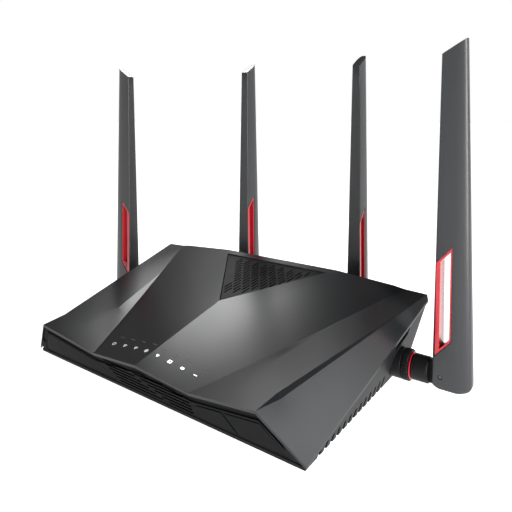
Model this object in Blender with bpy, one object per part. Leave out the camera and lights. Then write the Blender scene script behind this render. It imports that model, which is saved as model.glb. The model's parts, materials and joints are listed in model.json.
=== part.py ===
"""Wireless router with four hinged blade antennas, modelled as separate pieces.

Units are metres. +X is the router's right side, +Y its rear and +Z is up, with z = 0 on the table.
The design is laid out from the middle of the body and then moved so that the origin is the
centre of the whole object's footprint. Sizes are named here once, and every piece reads them.
"""

import math

import bmesh
import bpy
from mathutils import Matrix, Vector
from mathutils.bvhtree import BVHTree

MM = 0.001

# ---------------------------------------------------------------- clearances
GAP = 0.35 * MM  # between two pieces that touch or lie beside each other
SEAM = 0.5 * MM  # the dark line where two casings meet
SLIDE = 0.4 * MM  # round a button or flap that moves in its opening

# ---------------------------------------------------------------- body casing
BODY_WIDTH = 300 * MM  # across the rear corners
BODY_DEPTH = 188 * MM  # from the front of the wings to the rear edge
BASE_WIDTH = 265.8 * MM  # across the underside
COVER_WALL = 1.8 * MM
BASE_WALL = 2.2 * MM
FLOOR_WALL = 2.0 * MM
PANEL_WALL = 2.2 * MM
FASCIA_WALL = 2.5 * MM
FOOT_HEIGHT = 3.05 * MM
FOOT_RADIUS = 7 * MM
FOOT_INSET = 16 * MM  # from the edge of the underside to a foot's centre

FRONT_Y = -BODY_DEPTH / 2
REAR_Y = BODY_DEPTH / 2
FLOOR_Z = FOOT_HEIGHT + GAP  # underside of the base
FLOOR_TOP = FLOOR_Z + FLOOR_WALL

# ---------------------------------------------------------------- roof of the cover
NOSE_SETBACK = 3.4 * MM  # front centre point behind the wings' front
NOSE_Z = 32.3 * MM
ROOF_RISE = 0.2096  # rise to the rear along the centre line
ROOF_FALL = 0.1173  # fall outwards at the front
ROOF_TWIST = 0.325  # how the fall outwards fades to the rear, per metre
VALLEY_FRONT_X = 49.6 * MM  # where roof, shelf and front edge meet
VALLEY_SETBACK = 5.7 * MM
VALLEY_REAR_X = 129 * MM
VENT_APEX_SETBACK = 96.9 * MM  # tip of the top vent behind the front
VENT_HALF_WIDTH = 58 * MM
VENT_REAR_INSET = 7.5 * MM
REAR_FLAT_HALF = 64.3 * MM  # half of the straight top edge at the rear

# ---------------------------------------------------------------- wings of the cover
SHELF_DEPTH = 20.7 * MM  # small flat behind the front edge of each wing
SHELF_LEAN = 0.0754  # rise to the rear
SHELF_RISE = 0.1849  # rise outwards
STEP_X = 74.4 * MM  # outer foot of the step at the shelf's rear edge
STEP_END_Y = 33.5 * MM  # where the step runs out into the roof
RIDGE_X = 107.8 * MM  # outer ridge at the front
RIDGE_DRIFT = 1.2 * MM  # how far the ridge moves out along the shelf
RIDGE_CORNER_INSET = 1.8 * MM
CORNER_Z = 62.0 * MM  # ridge at the rear corner
CORNER_SETBACK = 1.5 * MM
CHAMFER = 3.2 * MM  # strip along the outer side of the ridge
TIP_OVERHANG = 1.5 * MM  # the wing's front tip beyond the underside
TIP_SETBACK = 13.3 * MM
TIP_Z = 7.2 * MM
WING_REAR_Z = 58.5 * MM  # lower edge of the wing at the rear
WING_REAR_SETBACK = 4.0 * MM
WALL_INSET = 0.7 * MM  # the base's side wall behind the wing's lower edge

# ---------------------------------------------------------------- front fascia
FASCIA_INSET = 0.8 * MM  # behind the cover's front edge
BASE_SETBACK = 14.6 * MM  # front edge of the underside
LIP_DROP = 5.0 * MM  # dark band under the cover's front edge
LIP_DEPTH = 1.0 * MM
FLAP_WALL = 1.7 * MM
FLAP_START = 34 * MM  # right end of the flap from the middle
FLAP_END = 6.5 * MM  # left end from the fascia's end
FLAP_HEEL = 2.8 * MM  # upright foot of its slanting ends, so they clear the opening as it swings
LOUVRE_COUNT = 6
LOUVRE_SLOT = 1.5 * MM
BUTTON_TRAVEL = 1.0 * MM

# ---------------------------------------------------------------- antennas
SIDE_AXIS_Y = 54 * MM  # connectors on the sides, from the body's middle
SIDE_AXIS_Z = 18 * MM
REAR_AXIS_X = 67 * MM  # connectors on the rear panel
REAR_AXIS_Z = 23 * MM
SIDE_REACH = 3.3 * MM  # collar plane beyond the side wall, level with the socket's top
REAR_REACH = 8 * MM  # collar plane behind the body's rear edge
SOCKET_RADIUS = 11.6 * MM
SOCKET_LENGTH = 14 * MM
THREAD_RADIUS = 3.2 * MM
COLLAR_LENGTH = 5.4 * MM
COLLAR_RADIUS = 11.8 * MM
RING_WIDTH = 0.9 * MM
RING_RADIUS = 10.3 * MM
BARREL_RADIUS = 9.7 * MM
BARREL_LENGTH = 12 * MM
SPIGOT_RADIUS = 7 * MM
TONGUE_HALF = 3.0 * MM
TONGUE_RADIUS = 8 * MM
PIN_RADIUS = 1.5 * MM
FOOT_SWEEP = 8.6 * MM  # radius of the blade's foot about the pin, so it clears the barrel
BLADE_HEIGHT = 246 * MM  # pin to the outer tip
BLADE_FOOT_INNER = 5.9 * MM  # inner edge from the pin, at the foot
BLADE_FOOT_OUTER = 21.2 * MM
BLADE_TOP_INNER = -3.0 * MM  # at the tip the edges have drawn together
BLADE_TOP_OUTER = 14.2 * MM
BLADE_TIP_FALL = 10.5 * MM  # the slanting tip, outer corner to inner corner
BLADE_FOOT_HALF = 7.2 * MM  # half thicknesses
BLADE_TOP_HALF = 4.0 * MM
BLADE_EDGE_SHARE = 0.36  # outer edge's thickness against the inner edge's
BLADE_FLAT_SHARE = 0.6  # flat part of the wide face, from the inner edge
WINDOW_INNER = 4.7 * MM  # inner side of the window from the pin
WINDOW_OUTER = 7.4 * MM
WINDOW_LOW = 14.0 * MM  # inner lower corner above the pin
WINDOW_HEIGHT = 70 * MM
WINDOW_SLANT = 1.12  # rise of the window's ends outwards
FRAME_INNER = 3.4 * MM  # widths of the red frame round its hole
FRAME_OUTER = 1.6 * MM
FRAME_END = 3.0 * MM
INSET_RECESS = 0.4 * MM
RADIATOR_LENGTH = 150 * MM
RADIATOR_WIDTH = 2.6 * MM
RADIATOR_WALL = 1.0 * MM

# ---------------------------------------------------------------- electronics
BOARD_WIDTH = 210 * MM
BOARD_FRONT_SETBACK = 18.6 * MM  # from the front of the wings
BOARD_REAR_SETBACK = 10 * MM  # from the rear panel
BOARD_WALL = 1.6 * MM
BOARD_Z = 10 * MM
JACK_PITCH = 13.97 * MM
JACK_HEIGHT = 13.6 * MM
JACK_DEPTH = 27 * MM
JACK_PROUD = 0.6 * MM
SCREW_HEAD_RADIUS = 3.0 * MM
SCREW_SHANK_RADIUS = 1.3 * MM
LED_COUNT = 8
LED_PITCH = 12.2 * MM
LED_SETBACK = 20 * MM  # row of lights behind the front
LED_SIZE = 3.0 * MM

LAN_CENTRE_X = -20 * MM
WAN_X = 28 * MM
RESET_X = 46 * MM
USB_X = -98 * MM
DC_X = 87 * MM
POWER_X = 99.5 * MM
JACK_SIDES = 1.6 * MM  # both outer walls of a block of network sockets
USB_WIDTH = 14.2 * MM
USB_HEIGHT = 6.9 * MM
USB_DEPTH = 15 * MM
DC_WIDTH = 10 * MM
DC_HEIGHT = 11 * MM
DC_DEPTH = 14 * MM
RESET_RADIUS = 1.6 * MM
POWER_SIZE = 9.8 * MM
RESET_LENGTH = 14 * MM
RESET_TRAVEL = 0.8 * MM
POWER_LENGTH = 10 * MM  # inside the panel
POWER_PROUD = 3.2 * MM
POWER_TRAVEL = 2.5 * MM
POST_RADIUS = 4.0 * MM
GRILLE_PLAIN = 15 * MM  # plain corner at the vent's tip
GRILLE_ANGLE = 84  # of the slots, from +X
LAN_COLUMNS = 4
LAN_ROWS = 2
FRONT_USB_X = -82 * MM
CUT = 8 * MM  # how far a cutter reaches past what it cuts
POST_FOOT = 4 * MM  # height of the screw bosses over the floor
SCREW_LENGTH = 9 * MM  # screw above its boss
SCREW_SIDE_INSET = 20.5 * MM
SCREW_FRONT_INSET = 26 * MM
SCREW_REAR_INSET = 13 * MM
REAR_FOOT_INSET = 30 * MM
HEATSINK_SIZE = (88 * MM, 62 * MM, 13 * MM)
HEATSINK_BASE = 3 * MM
HEATSINK_FIN = 1.4 * MM
HEATSINK_FINS = 12
HEATSINK_SETBACK = 52 * MM  # its centre behind the board's front
SHIELD_HALF = (22 * MM, 34 * MM)
SHIELD_PLACE = (72 * MM, 60 * MM)  # from the middle and from the board's front
SHIELD_WALL = 0.6 * MM
SHIELD_HEIGHT = 5 * MM
RECESS_LENGTH = 22 * MM  # slanting recess in the side wall over a connector
RECESS_HEIGHT = 7 * MM
GRILLE_SLOT = 1.7 * MM
GRILLE_SLOT_LENGTH = 9.5 * MM
GRILLE_ROW_PITCH = 3.6 * MM
GRILLE_SINK = 1.3 * MM  # below the roof
GRILLE_WALL = 1.6 * MM

STEPS = 24  # sides of a round piece

# ---------------------------------------------------------------- side vents
VENT_COUNT = 14
VENT_PITCH = 8 * MM
VENT_WIDTH = 3.3 * MM

# ---------------------------------------------------------------- rear panel
PANEL_TOP_DROP = 2.4 * MM  # below the cover's underside
PANEL_SIDE_DROP = 5 * MM
PANEL_STATIONS = 12  # points along each half of its top
REAR_SLOT_COUNT = 24
REAR_SLOT_PITCH = 8 * MM
REAR_SLOT_WIDTH = 3.2 * MM
REAR_SLOT_HEIGHT = 8 * MM
REAR_SLOT_LOW = 43 * MM

# Places that follow from the sizes above
HALF_BASE = BASE_WIDTH / 2
BASE_FRONT_Y = FRONT_Y + BASE_SETBACK
PANEL_Y = REAR_Y - 3.0 * MM  # outer face of the rear panel
BASE_REAR_Y = PANEL_Y
NOSE_Y = FRONT_Y + NOSE_SETBACK
VALLEY_Y = FRONT_Y + VALLEY_SETBACK
TIP = Vector((HALF_BASE + TIP_OVERHANG, FRONT_Y + TIP_SETBACK, TIP_Z))
WING_REAR = Vector((BODY_WIDTH / 2, REAR_Y - WING_REAR_SETBACK, WING_REAR_Z))
WALL_LEAN = (WING_REAR.x - WALL_INSET - HALF_BASE) / (WING_REAR_Z - FLOOR_Z)
SOCKET_TOP_Z = SIDE_AXIS_Z + SOCKET_RADIUS
SIDE_PLANE_X = HALF_BASE + WALL_LEAN * (SOCKET_TOP_Z - FLOOR_Z) + SIDE_REACH
REAR_PLANE_Y = REAR_Y + REAR_REACH
BARREL_START = COLLAR_LENGTH + RING_WIDTH + 3 * GAP
PIN_REACH = BARREL_START + BARREL_LENGTH + FOOT_SWEEP + SLIDE
BOARD_TOP = BOARD_Z + BOARD_WALL
BOARD_REAR_Y = PANEL_Y - PANEL_WALL - BOARD_REAR_SETBACK
BOARD_FRONT_Y = FRONT_Y + BOARD_FRONT_SETBACK
ANTENNA_REAR = REAR_PLANE_Y + PIN_REACH + BLADE_FOOT_OUTER
ORIGIN_SHIFT = -(FRONT_Y + ANTENNA_REAR) / 2


# ---------------------------------------------------------------- scene and materials
def clear_scene():
    for obj in list(bpy.data.objects):
        bpy.data.objects.remove(obj, do_unlink=True)


def material(name, colour, roughness, metallic=0.0):
    mat = bpy.data.materials.new(name)
    mat.use_nodes = True
    shader = mat.node_tree.nodes["Principled BSDF"]
    shader.inputs["Base Color"].default_value = (*colour, 1)
    shader.inputs["Roughness"].default_value = roughness
    shader.inputs["Metallic"].default_value = metallic
    return mat


def empty(name, location, parent=None, turn=0.0):
    obj = bpy.data.objects.new(name, None)
    bpy.context.scene.collection.objects.link(obj)
    obj.location = location
    obj.rotation_euler.z = turn
    obj.parent = parent
    return obj


def place(name, mesh, mat, parent, location=(0, 0, 0)):
    """Puts a mesh in the scene as one piece."""
    obj = bpy.data.objects.new(name, mesh)
    bpy.context.scene.collection.objects.link(obj)
    obj.location = location
    obj.parent = parent
    if mat and not mesh.materials:
        mesh.materials.append(mat)
    return obj


# ---------------------------------------------------------------- mesh building
def to_mesh(name, bm, smooth_angle=None):
    bmesh.ops.recalc_face_normals(bm, faces=bm.faces)
    mesh = bpy.data.meshes.new(name)
    bm.to_mesh(mesh)
    bm.free()
    if smooth_angle is not None:
        mesh.shade_smooth()
        mesh.set_sharp_from_angle(angle=math.radians(smooth_angle))
    return mesh


def box_mesh(name, low, high):
    """A box between two corners."""
    bm = bmesh.new()
    low, high = Vector(low), Vector(high)
    bmesh.ops.create_cube(bm, size=1.0)
    bmesh.ops.scale(bm, vec=high - low, verts=bm.verts)
    bmesh.ops.translate(bm, vec=(low + high) / 2, verts=bm.verts)
    return to_mesh(name, bm)


def hull_mesh(name, points):
    """The convex solid round some points."""
    bm = bmesh.new()
    for point in points:
        bm.verts.new(point)
    made = bmesh.ops.convex_hull(bm, input=bm.verts)
    loose = [v for v in made["geom_interior"] if isinstance(v, bmesh.types.BMVert)]
    bmesh.ops.delete(bm, geom=loose, context="VERTS")
    flat = math.radians(0.01)
    bmesh.ops.dissolve_limit(bm, angle_limit=flat, verts=bm.verts, edges=bm.edges)
    return to_mesh(name, bm)


def prism_mesh(name, outline, low, high, axis="Z"):
    """An outline drawn across an axis and extruded along it, from low to high."""
    place_point = {
        "X": lambda a, b, c: (c, a, b),
        "Y": lambda a, b, c: (a, c, b),
        "Z": lambda a, b, c: (a, b, c),
    }[axis]
    bm = bmesh.new()
    face = bm.faces.new([bm.verts.new(place_point(a, b, low)) for a, b in outline])
    grown = bmesh.ops.extrude_face_region(bm, geom=[face])
    moved = [v for v in grown["geom"] if isinstance(v, bmesh.types.BMVert)]
    bmesh.ops.translate(bm, vec=place_point(0, 0, high - low), verts=moved)
    return to_mesh(name, bm)


def turned_mesh(name, profile, axis="X", steps=STEPS):
    """A closed profile of (distance along the axis, radius) points, spun round the axis."""
    direction = {"X": Vector((1, 0, 0)), "Y": Vector((0, 1, 0)), "Z": Vector((0, 0, 1))}[axis]
    side = {"X": Vector((0, 0, 1)), "Y": Vector((0, 0, 1)), "Z": Vector((1, 0, 0))}[axis]
    bm = bmesh.new()
    ring = [bm.verts.new(direction * along + side * radius) for along, radius in profile]
    on_axis = min(radius for _, radius in profile) < 1e-9
    pairs = zip(ring, ring[1:]) if on_axis else zip(ring, ring[1:] + ring[:1])
    edges = [bm.edges.new(pair) for pair in pairs]
    bmesh.ops.spin(bm, geom=edges, cent=(0, 0, 0), axis=direction, angle=2 * math.pi, steps=steps)
    bmesh.ops.remove_doubles(bm, verts=bm.verts, dist=1e-6)
    return to_mesh(name, bm, smooth_angle=35)


def cylinder_mesh(name, radius, low, high, axis="Z", chamfer=0.0, steps=STEPS):
    """A rod along an axis, with its end edges cut by a chamfer if one is given."""
    if chamfer:
        profile = [(low, 0), (low, radius - chamfer), (low + chamfer, radius)]
        profile += [(high - chamfer, radius), (high, radius - chamfer), (high, 0)]
    else:
        profile = [(low, 0), (low, radius), (high, radius), (high, 0)]
    return turned_mesh(name, profile, axis, steps)


def moved(mesh, offset):
    mesh.transform(Matrix.Translation(Vector(offset)))
    return mesh


def joined(name, meshes):
    """Several closed bodies in one mesh, for a cutter or for a union."""
    bm = bmesh.new()
    for mesh in meshes:
        bm.from_mesh(mesh)
        bpy.data.meshes.remove(mesh)
    mesh = bpy.data.meshes.new(name)
    bm.to_mesh(mesh)
    bm.free()
    return mesh


def boolean(obj, mesh, operation):
    """Cuts a mesh out of a piece or joins it on. The helper moves with the piece."""
    helper = bpy.data.objects.new(obj.name + "_tool", mesh)
    bpy.context.scene.collection.objects.link(helper)
    helper.parent = obj.parent
    helper.location = obj.location
    helper.hide_render = True
    helper.display_type = "WIRE"
    modifier = obj.modifiers.new(operation.lower(), "BOOLEAN")
    modifier.operation = operation
    modifier.solver = "EXACT"
    modifier.object = helper


def cut(obj, *meshes):
    for mesh in meshes:
        boolean(obj, mesh, "DIFFERENCE")


def join_on(obj, *meshes):
    for mesh in meshes:
        boolean(obj, mesh, "UNION")


def finished_mesh(obj):
    """The mesh that a piece has with its modifiers, for pieces that are used four times."""
    bpy.context.view_layer.update()
    graph = bpy.context.evaluated_depsgraph_get()
    mesh = bpy.data.meshes.new_from_object(obj.evaluated_get(graph))
    for modifier in obj.modifiers:
        bpy.data.objects.remove(modifier.object, do_unlink=True)
    bpy.data.objects.remove(obj, do_unlink=True)
    return mesh


def arc(cx, cy, radius, start, end, count):
    """Points of an arc, angles in degrees."""
    angles = [math.radians(start + (end - start) * i / count) for i in range(count + 1)]
    return [(cx + radius * math.cos(a), cy + radius * math.sin(a)) for a in angles]


def mix(a, b, t):
    return a + (b - a) * t


# ---------------------------------------------------------------- outer shape of the cover
def roof_z(x, y):
    """The centre roof: a gently twisted surface that rises to the rear."""
    run = y - NOSE_Y
    return NOSE_Z + ROOF_RISE * run - abs(x) * (ROOF_FALL - ROOF_TWIST * run)


def shelf_z(x, y):
    valley = roof_z(VALLEY_FRONT_X, VALLEY_Y)
    return valley + SHELF_RISE * (x - VALLEY_FRONT_X) + SHELF_LEAN * (y - VALLEY_Y)


def valley_x(y):
    """The crease between roof and wing, straight as seen from above."""
    share = (y - VALLEY_Y) / (REAR_Y - 1 * MM - VALLEY_Y)
    return mix(VALLEY_FRONT_X, VALLEY_REAR_X, share)


def on_roof(x, y):
    return Vector((x, y, roof_z(x, y)))


def wing_edge(share):
    """The lower edge of the wing, from its front tip to the rear."""
    return TIP.lerp(WING_REAR, share)


def wing_edge_z(y):
    return wing_edge((y - TIP.y) / (WING_REAR.y - TIP.y)).z


def wall_x(z):
    """Outer face of the base's leaning side wall."""
    return HALF_BASE + WALL_LEAN * (z - FLOOR_Z)


RIDGE_FRONT = Vector((RIDGE_X, FRONT_Y, shelf_z(RIDGE_X, FRONT_Y)))
SHELF_REAR_Y = FRONT_Y + SHELF_DEPTH
SHELF_CORNER = Vector(
    (RIDGE_X + RIDGE_DRIFT, SHELF_REAR_Y, shelf_z(RIDGE_X + RIDGE_DRIFT, SHELF_REAR_Y))
)
STEP_FOOT = Vector((STEP_X, SHELF_REAR_Y + 2 * MM, shelf_z(STEP_X, SHELF_REAR_Y) + 1 * MM))
STEP_INNER_Y = STEP_FOOT.y
REAR_CORNER = Vector(
    (BODY_WIDTH / 2 - RIDGE_CORNER_INSET, REAR_Y - CORNER_SETBACK, CORNER_Z)
)
VALLEY_END = Vector((VALLEY_REAR_X, REAR_Y - 1 * MM, CORNER_Z + 0.6 * MM))
VENT_APEX = on_roof(0, FRONT_Y + VENT_APEX_SETBACK)
VENT_CORNER = on_roof(VENT_HALF_WIDTH, REAR_Y - VENT_REAR_INSET)
REAR_TOP = on_roof(REAR_FLAT_HALF, REAR_Y)
FRONT_EDGE = [on_roof(0, NOSE_Y), on_roof(VALLEY_FRONT_X, VALLEY_Y), RIDGE_FRONT, TIP]


def add_grid(bm, left, right, columns, height=None):
    """Quads between two rows of points, with an optional height for the points between."""
    rows = []
    for a, b in zip(left, right):
        points = [a.lerp(b, i / columns) for i in range(columns + 1)]
        if height:
            points[1:-1] = [Vector((p.x, p.y, height(p.x, p.y))) for p in points[1:-1]]
        rows.append([bm.verts.new(p) for p in points])
    for low, high in zip(rows, rows[1:]):
        for i in range(columns):
            bm.faces.new((low[i], low[i + 1], high[i + 1], high[i]))


def cover_half(bm):
    """The outer skin of the right half."""
    front_rows, middle_rows, side_columns = 6, 6, 3
    step_end = on_roof(valley_x(STEP_END_Y), STEP_END_Y)
    step_inner = on_roof(valley_x(STEP_INNER_Y), STEP_INNER_Y)
    valley = [step_inner.lerp(step_end, i / front_rows) for i in range(front_rows + 1)]
    valley = [on_roof(p.x, p.y) for p in valley]
    tail = [step_end.lerp(VALLEY_END, i / (middle_rows - 1)) for i in range(middle_rows)]
    valley += tail[1:]
    inner = [on_roof(0, NOSE_Y)]
    inner += [on_roof(0, mix(NOSE_Y, VENT_APEX.y, i / front_rows)) for i in range(1, front_rows)]
    inner += [VENT_APEX.lerp(VENT_CORNER, i / (middle_rows - 1)) for i in range(middle_rows)]
    inner = inner[: len(valley)] + [REAR_TOP]
    outer = [on_roof(VALLEY_FRONT_X, VALLEY_Y)] + valley
    add_grid(bm, inner, outer, 7, roof_z)
    bm.faces.new([bm.verts.new(p) for p in (
        VENT_CORNER, REAR_TOP, Vector((0, REAR_TOP.y, REAR_TOP.z)),
        Vector((0, VENT_CORNER.y, VENT_CORNER.z)))])
    step_outer = [STEP_FOOT.lerp(step_end, i / front_rows) for i in range(front_rows + 1)]
    add_grid(bm, valley[: front_rows + 1], step_outer, 1)
    shelf = [on_roof(VALLEY_FRONT_X, VALLEY_Y), RIDGE_FRONT]
    shelf += [SHELF_CORNER.lerp(STEP_FOOT, i / side_columns) for i in range(side_columns + 1)]
    bm.faces.new([bm.verts.new(p) for p in [*shelf, step_inner]])
    side_inner = step_outer + valley[front_rows + 1 :]
    count = len(side_inner) - 1
    ridge = [SHELF_CORNER.lerp(REAR_CORNER, i / count) for i in range(count + 1)]
    add_grid(bm, side_inner, ridge, side_columns)
    strip = [
        p + Vector((CHAMFER, 0, -CHAMFER * 0.75)) * (1 - i / count) for i, p in enumerate(ridge)
    ]
    add_grid(bm, [RIDGE_FRONT] + ridge, [RIDGE_FRONT] + strip, 1)
    shelf_share = (SHELF_CORNER.y - FRONT_Y) / (REAR_CORNER.y - FRONT_Y)
    shares = [0] + [mix(shelf_share, 1, i / count) for i in range(count + 1)]
    lower = [wing_edge(share) for share in shares]
    add_grid(bm, [RIDGE_FRONT] + strip, lower, 3)


def cover_mesh():
    """Both halves of the skin, given their thickness straight down."""
    bm = bmesh.new()
    cover_half(bm)
    mirrored = bmesh.ops.duplicate(bm, geom=bm.verts[:] + bm.edges[:] + bm.faces[:])
    twins = [v for v in mirrored["geom"] if isinstance(v, bmesh.types.BMVert)]
    bmesh.ops.scale(bm, vec=(-1, 1, 1), verts=twins)
    bmesh.ops.remove_doubles(bm, verts=bm.verts, dist=1e-6)
    bmesh.ops.triangulate(bm, faces=bm.faces)
    grown = bmesh.ops.extrude_face_region(bm, geom=bm.faces[:], use_keep_orig=True)
    lowered = [v for v in grown["geom"] if isinstance(v, bmesh.types.BMVert)]
    bmesh.ops.translate(bm, vec=(0, 0, -COVER_WALL), verts=lowered)
    return to_mesh("top_cover", bm, smooth_angle=9)


# ---------------------------------------------------------------- outer shape of the front fascia
def front_edge(x):
    """The cover's front edge at x, found along its straight stretches."""
    x = abs(x)
    for a, b in zip(FRONT_EDGE, FRONT_EDGE[1:]):
        if x <= b.x or b is FRONT_EDGE[-1]:
            return a.lerp(b, (x - a.x) / (b.x - a.x))


def fascia_top_z(x):
    return front_edge(x).z - COVER_WALL - SEAM


FASCIA_LOW = FLOOR_TOP + GAP
FASCIA_HALF = HALF_BASE - 3 * MM
FASCIA_FOOT_Y = BASE_FRONT_Y + 0.3 * MM


def fascia_y(x, z):
    """The leaning front surface, between the base's straight edge and the cover's bent one."""
    top_y = front_edge(x).y + FASCIA_INSET
    share = (z - FASCIA_LOW) / (fascia_top_z(x) - FASCIA_LOW)
    return mix(FASCIA_FOOT_Y, top_y, share)


def fascia_piece(name, outline, front, back):
    """A prism whose two faces follow the fascia's surface, at given depths behind it."""
    bm = bmesh.new()
    bm.faces.new([bm.verts.new((x, 0, z)) for x, z in outline])
    for station in (0, VALLEY_FRONT_X, RIDGE_X):
        for x in {station, -station}:
            geom = bm.verts[:] + bm.edges[:] + bm.faces[:]
            bmesh.ops.bisect_plane(bm, geom=geom, plane_co=(x, 0, 0), plane_no=(1, 0, 0), dist=1e-7)
    bmesh.ops.triangulate(bm, faces=bm.faces)
    grown = bmesh.ops.extrude_face_region(bm, geom=bm.faces[:], use_keep_orig=True)
    rear = {v for v in grown["geom"] if isinstance(v, bmesh.types.BMVert)}
    for v in bm.verts:
        v.co.y = fascia_y(v.co.x, v.co.z) + (back if v in rear else front)
    return to_mesh(name, bm)


def top_line(low_x, high_x, drop):
    """The fascia's bent top edge between two places, lowered by a drop."""
    bends = [x for x in (-RIDGE_X, -VALLEY_FRONT_X, 0, VALLEY_FRONT_X, RIDGE_X) if low_x < x < high_x]
    return [(x, fascia_top_z(x) - drop) for x in [low_x, *bends, high_x]]


def grown_outline(outline, margin):
    """A convex outline with each side moved out by a margin."""
    area = sum(a[0] * b[1] - b[0] * a[1] for a, b in zip(outline, outline[1:] + outline[:1]))
    turn = 1 if area > 0 else -1
    sides = []
    for a, b in zip(outline, outline[1:] + outline[:1]):
        dx, dz = b[0] - a[0], b[1] - a[1]
        length = math.hypot(dx, dz)
        nx, nz = turn * dz / length, -turn * dx / length
        sides.append((nx, nz, nx * a[0] + nz * a[1] + margin))
    points = []
    for (a, b, c), (d, e, f) in zip(sides[-1:] + sides[:-1], sides):
        det = a * e - b * d
        points.append(((c * e - b * f) / det, (a * f - c * d) / det))
    return points


# Outlines seen from the front, (x, z). The flap fills the left, two buttons are on the right.
FRAME = 1.6 * MM
FLAP_LOW = FASCIA_LOW + FRAME
FLAP_TOP_DROP = LIP_DROP + 1.6 * MM
FLAP_OUTLINE = [
    (-FASCIA_HALF + FLAP_END, FLAP_LOW),
    (-FLAP_START, FLAP_LOW),
    (-FLAP_START, FLAP_LOW + FLAP_HEEL),
    (-VALLEY_FRONT_X, fascia_top_z(VALLEY_FRONT_X) - FLAP_TOP_DROP),
    (-RIDGE_X, fascia_top_z(RIDGE_X) - FLAP_TOP_DROP),
    (-FASCIA_HALF + FLAP_END, FLAP_LOW + FLAP_HEEL),
]
BUTTON_LOW = FASCIA_LOW + FRAME
BUTTON_STEMS = {"wifi_button": 66 * MM, "wps_button": 97 * MM}
BUTTON_DROP = LIP_DROP + 2.4 * MM
WIFI_OUTLINE = [
    (53 * MM, BUTTON_LOW),
    (84 * MM, BUTTON_LOW),
    (76 * MM, fascia_top_z(76 * MM) - BUTTON_DROP),
    (53 * MM, fascia_top_z(53 * MM) - BUTTON_DROP),
]
WPS_OUTLINE = [
    (86 * MM, BUTTON_LOW),
    (FASCIA_HALF - 7 * MM, BUTTON_LOW),
    (RIDGE_X, fascia_top_z(RIDGE_X) - BUTTON_DROP),
    (79 * MM, fascia_top_z(79 * MM) - BUTTON_DROP),
]
LOUVRE_OUTLINE = [
    (-30 * MM, FASCIA_LOW + FRAME),
    (49 * MM, FASCIA_LOW + FRAME),
    (49 * MM, fascia_top_z(49 * MM) - LIP_DROP),
    (0, fascia_top_z(0) - LIP_DROP),
    (-46 * MM, fascia_top_z(46 * MM) - LIP_DROP),
]


# ---------------------------------------------------------------- casing pieces
def build_cover(root, mat):
    mesh = cover_mesh()
    skin = surface_of(mesh)
    cover = place("top_cover", mesh, mat, root)
    posts, bores = [], []
    for x, y in SCREW_PLACES:
        rim = arc(x, y, POST_RADIUS, 0, 315, 7)
        height = min(skin(a, b) for a, b in rim) - COVER_WALL / 4
        post = cylinder_mesh("post", POST_RADIUS, SCREW_BOSS_TOP + GAP, height)
        posts.append(moved(post, (x, y, 0)))
        bore = cylinder_mesh("bore", SCREW_SHANK_RADIUS + GAP, 0, SCREW_TIP_Z + 1 * MM)
        bores.append(moved(bore, (x, y, 0)))
    join_on(cover, joined("posts", posts))
    cut(cover, joined("post_bores", bores))


def surface_of(mesh):
    """A function that gives the height of a mesh's top at a place."""
    tree = BVHTree.FromPolygons([v.co for v in mesh.vertices], [p.vertices for p in mesh.polygons])
    return lambda x, y: tree.ray_cast(Vector((x, y, 1)), Vector((0, 0, -1)))[0].z


def led_places():
    return [(i - (LED_COUNT - 1) / 2) * LED_PITCH for i in range(LED_COUNT)]


LED_Y = FRONT_Y + LED_SETBACK
SCREW_BOSS_TOP = FLOOR_TOP + POST_FOOT
SCREW_TIP_Z = SCREW_BOSS_TOP + SCREW_LENGTH
SCREW_X = HALF_BASE - SCREW_SIDE_INSET
SCREW_PLACES = [
    (side * SCREW_X, y)
    for y in (BASE_FRONT_Y + SCREW_FRONT_INSET, BASE_REAR_Y - SCREW_REAR_INSET)
    for side in (-1, 1)
]


def side_wall_mesh(side):
    """One leaning side wall of the base. Its top runs parallel to the wing's lower edge."""
    points = []
    for inset in (0, BASE_WALL):
        for y in (BASE_FRONT_Y, BASE_REAR_Y):
            top = max(wing_edge_z(y) - COVER_WALL - SEAM, FLOOR_TOP)
            for z in (FLOOR_Z, top):
                points.append((side * (wall_x(z) - inset), y, z))
    return hull_mesh("side_wall", points)


def side_vent_cutters(side):
    """Upright slots at the foot of a side wall, taller towards the rear."""
    cutters = []
    for i in range(VENT_COUNT):
        y = BASE_FRONT_Y + 16 * MM + i * VENT_PITCH
        if abs(y - SIDE_AXIS_Y) < SOCKET_RADIUS + VENT_PITCH / 2:
            continue
        top = FLOOR_TOP + 2.5 * MM + 0.15 * (wing_edge_z(y) - FLOOR_Z)
        outer, inner, notch = HALF_BASE + 12 * MM, HALF_BASE - 4 * MM, HALF_BASE - 1.2 * MM
        foot = FLOOR_TOP + 0.6 * MM
        outline = [(outer, 0), (outer, top), (inner, top), (inner, foot), (notch, foot), (notch, 0)]
        outline = [(side * x, z) for x, z in outline]
        cutters.append(prism_mesh("slot", outline, y - VENT_WIDTH / 2, y + VENT_WIDTH / 2, axis="Y"))
    return cutters


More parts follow.
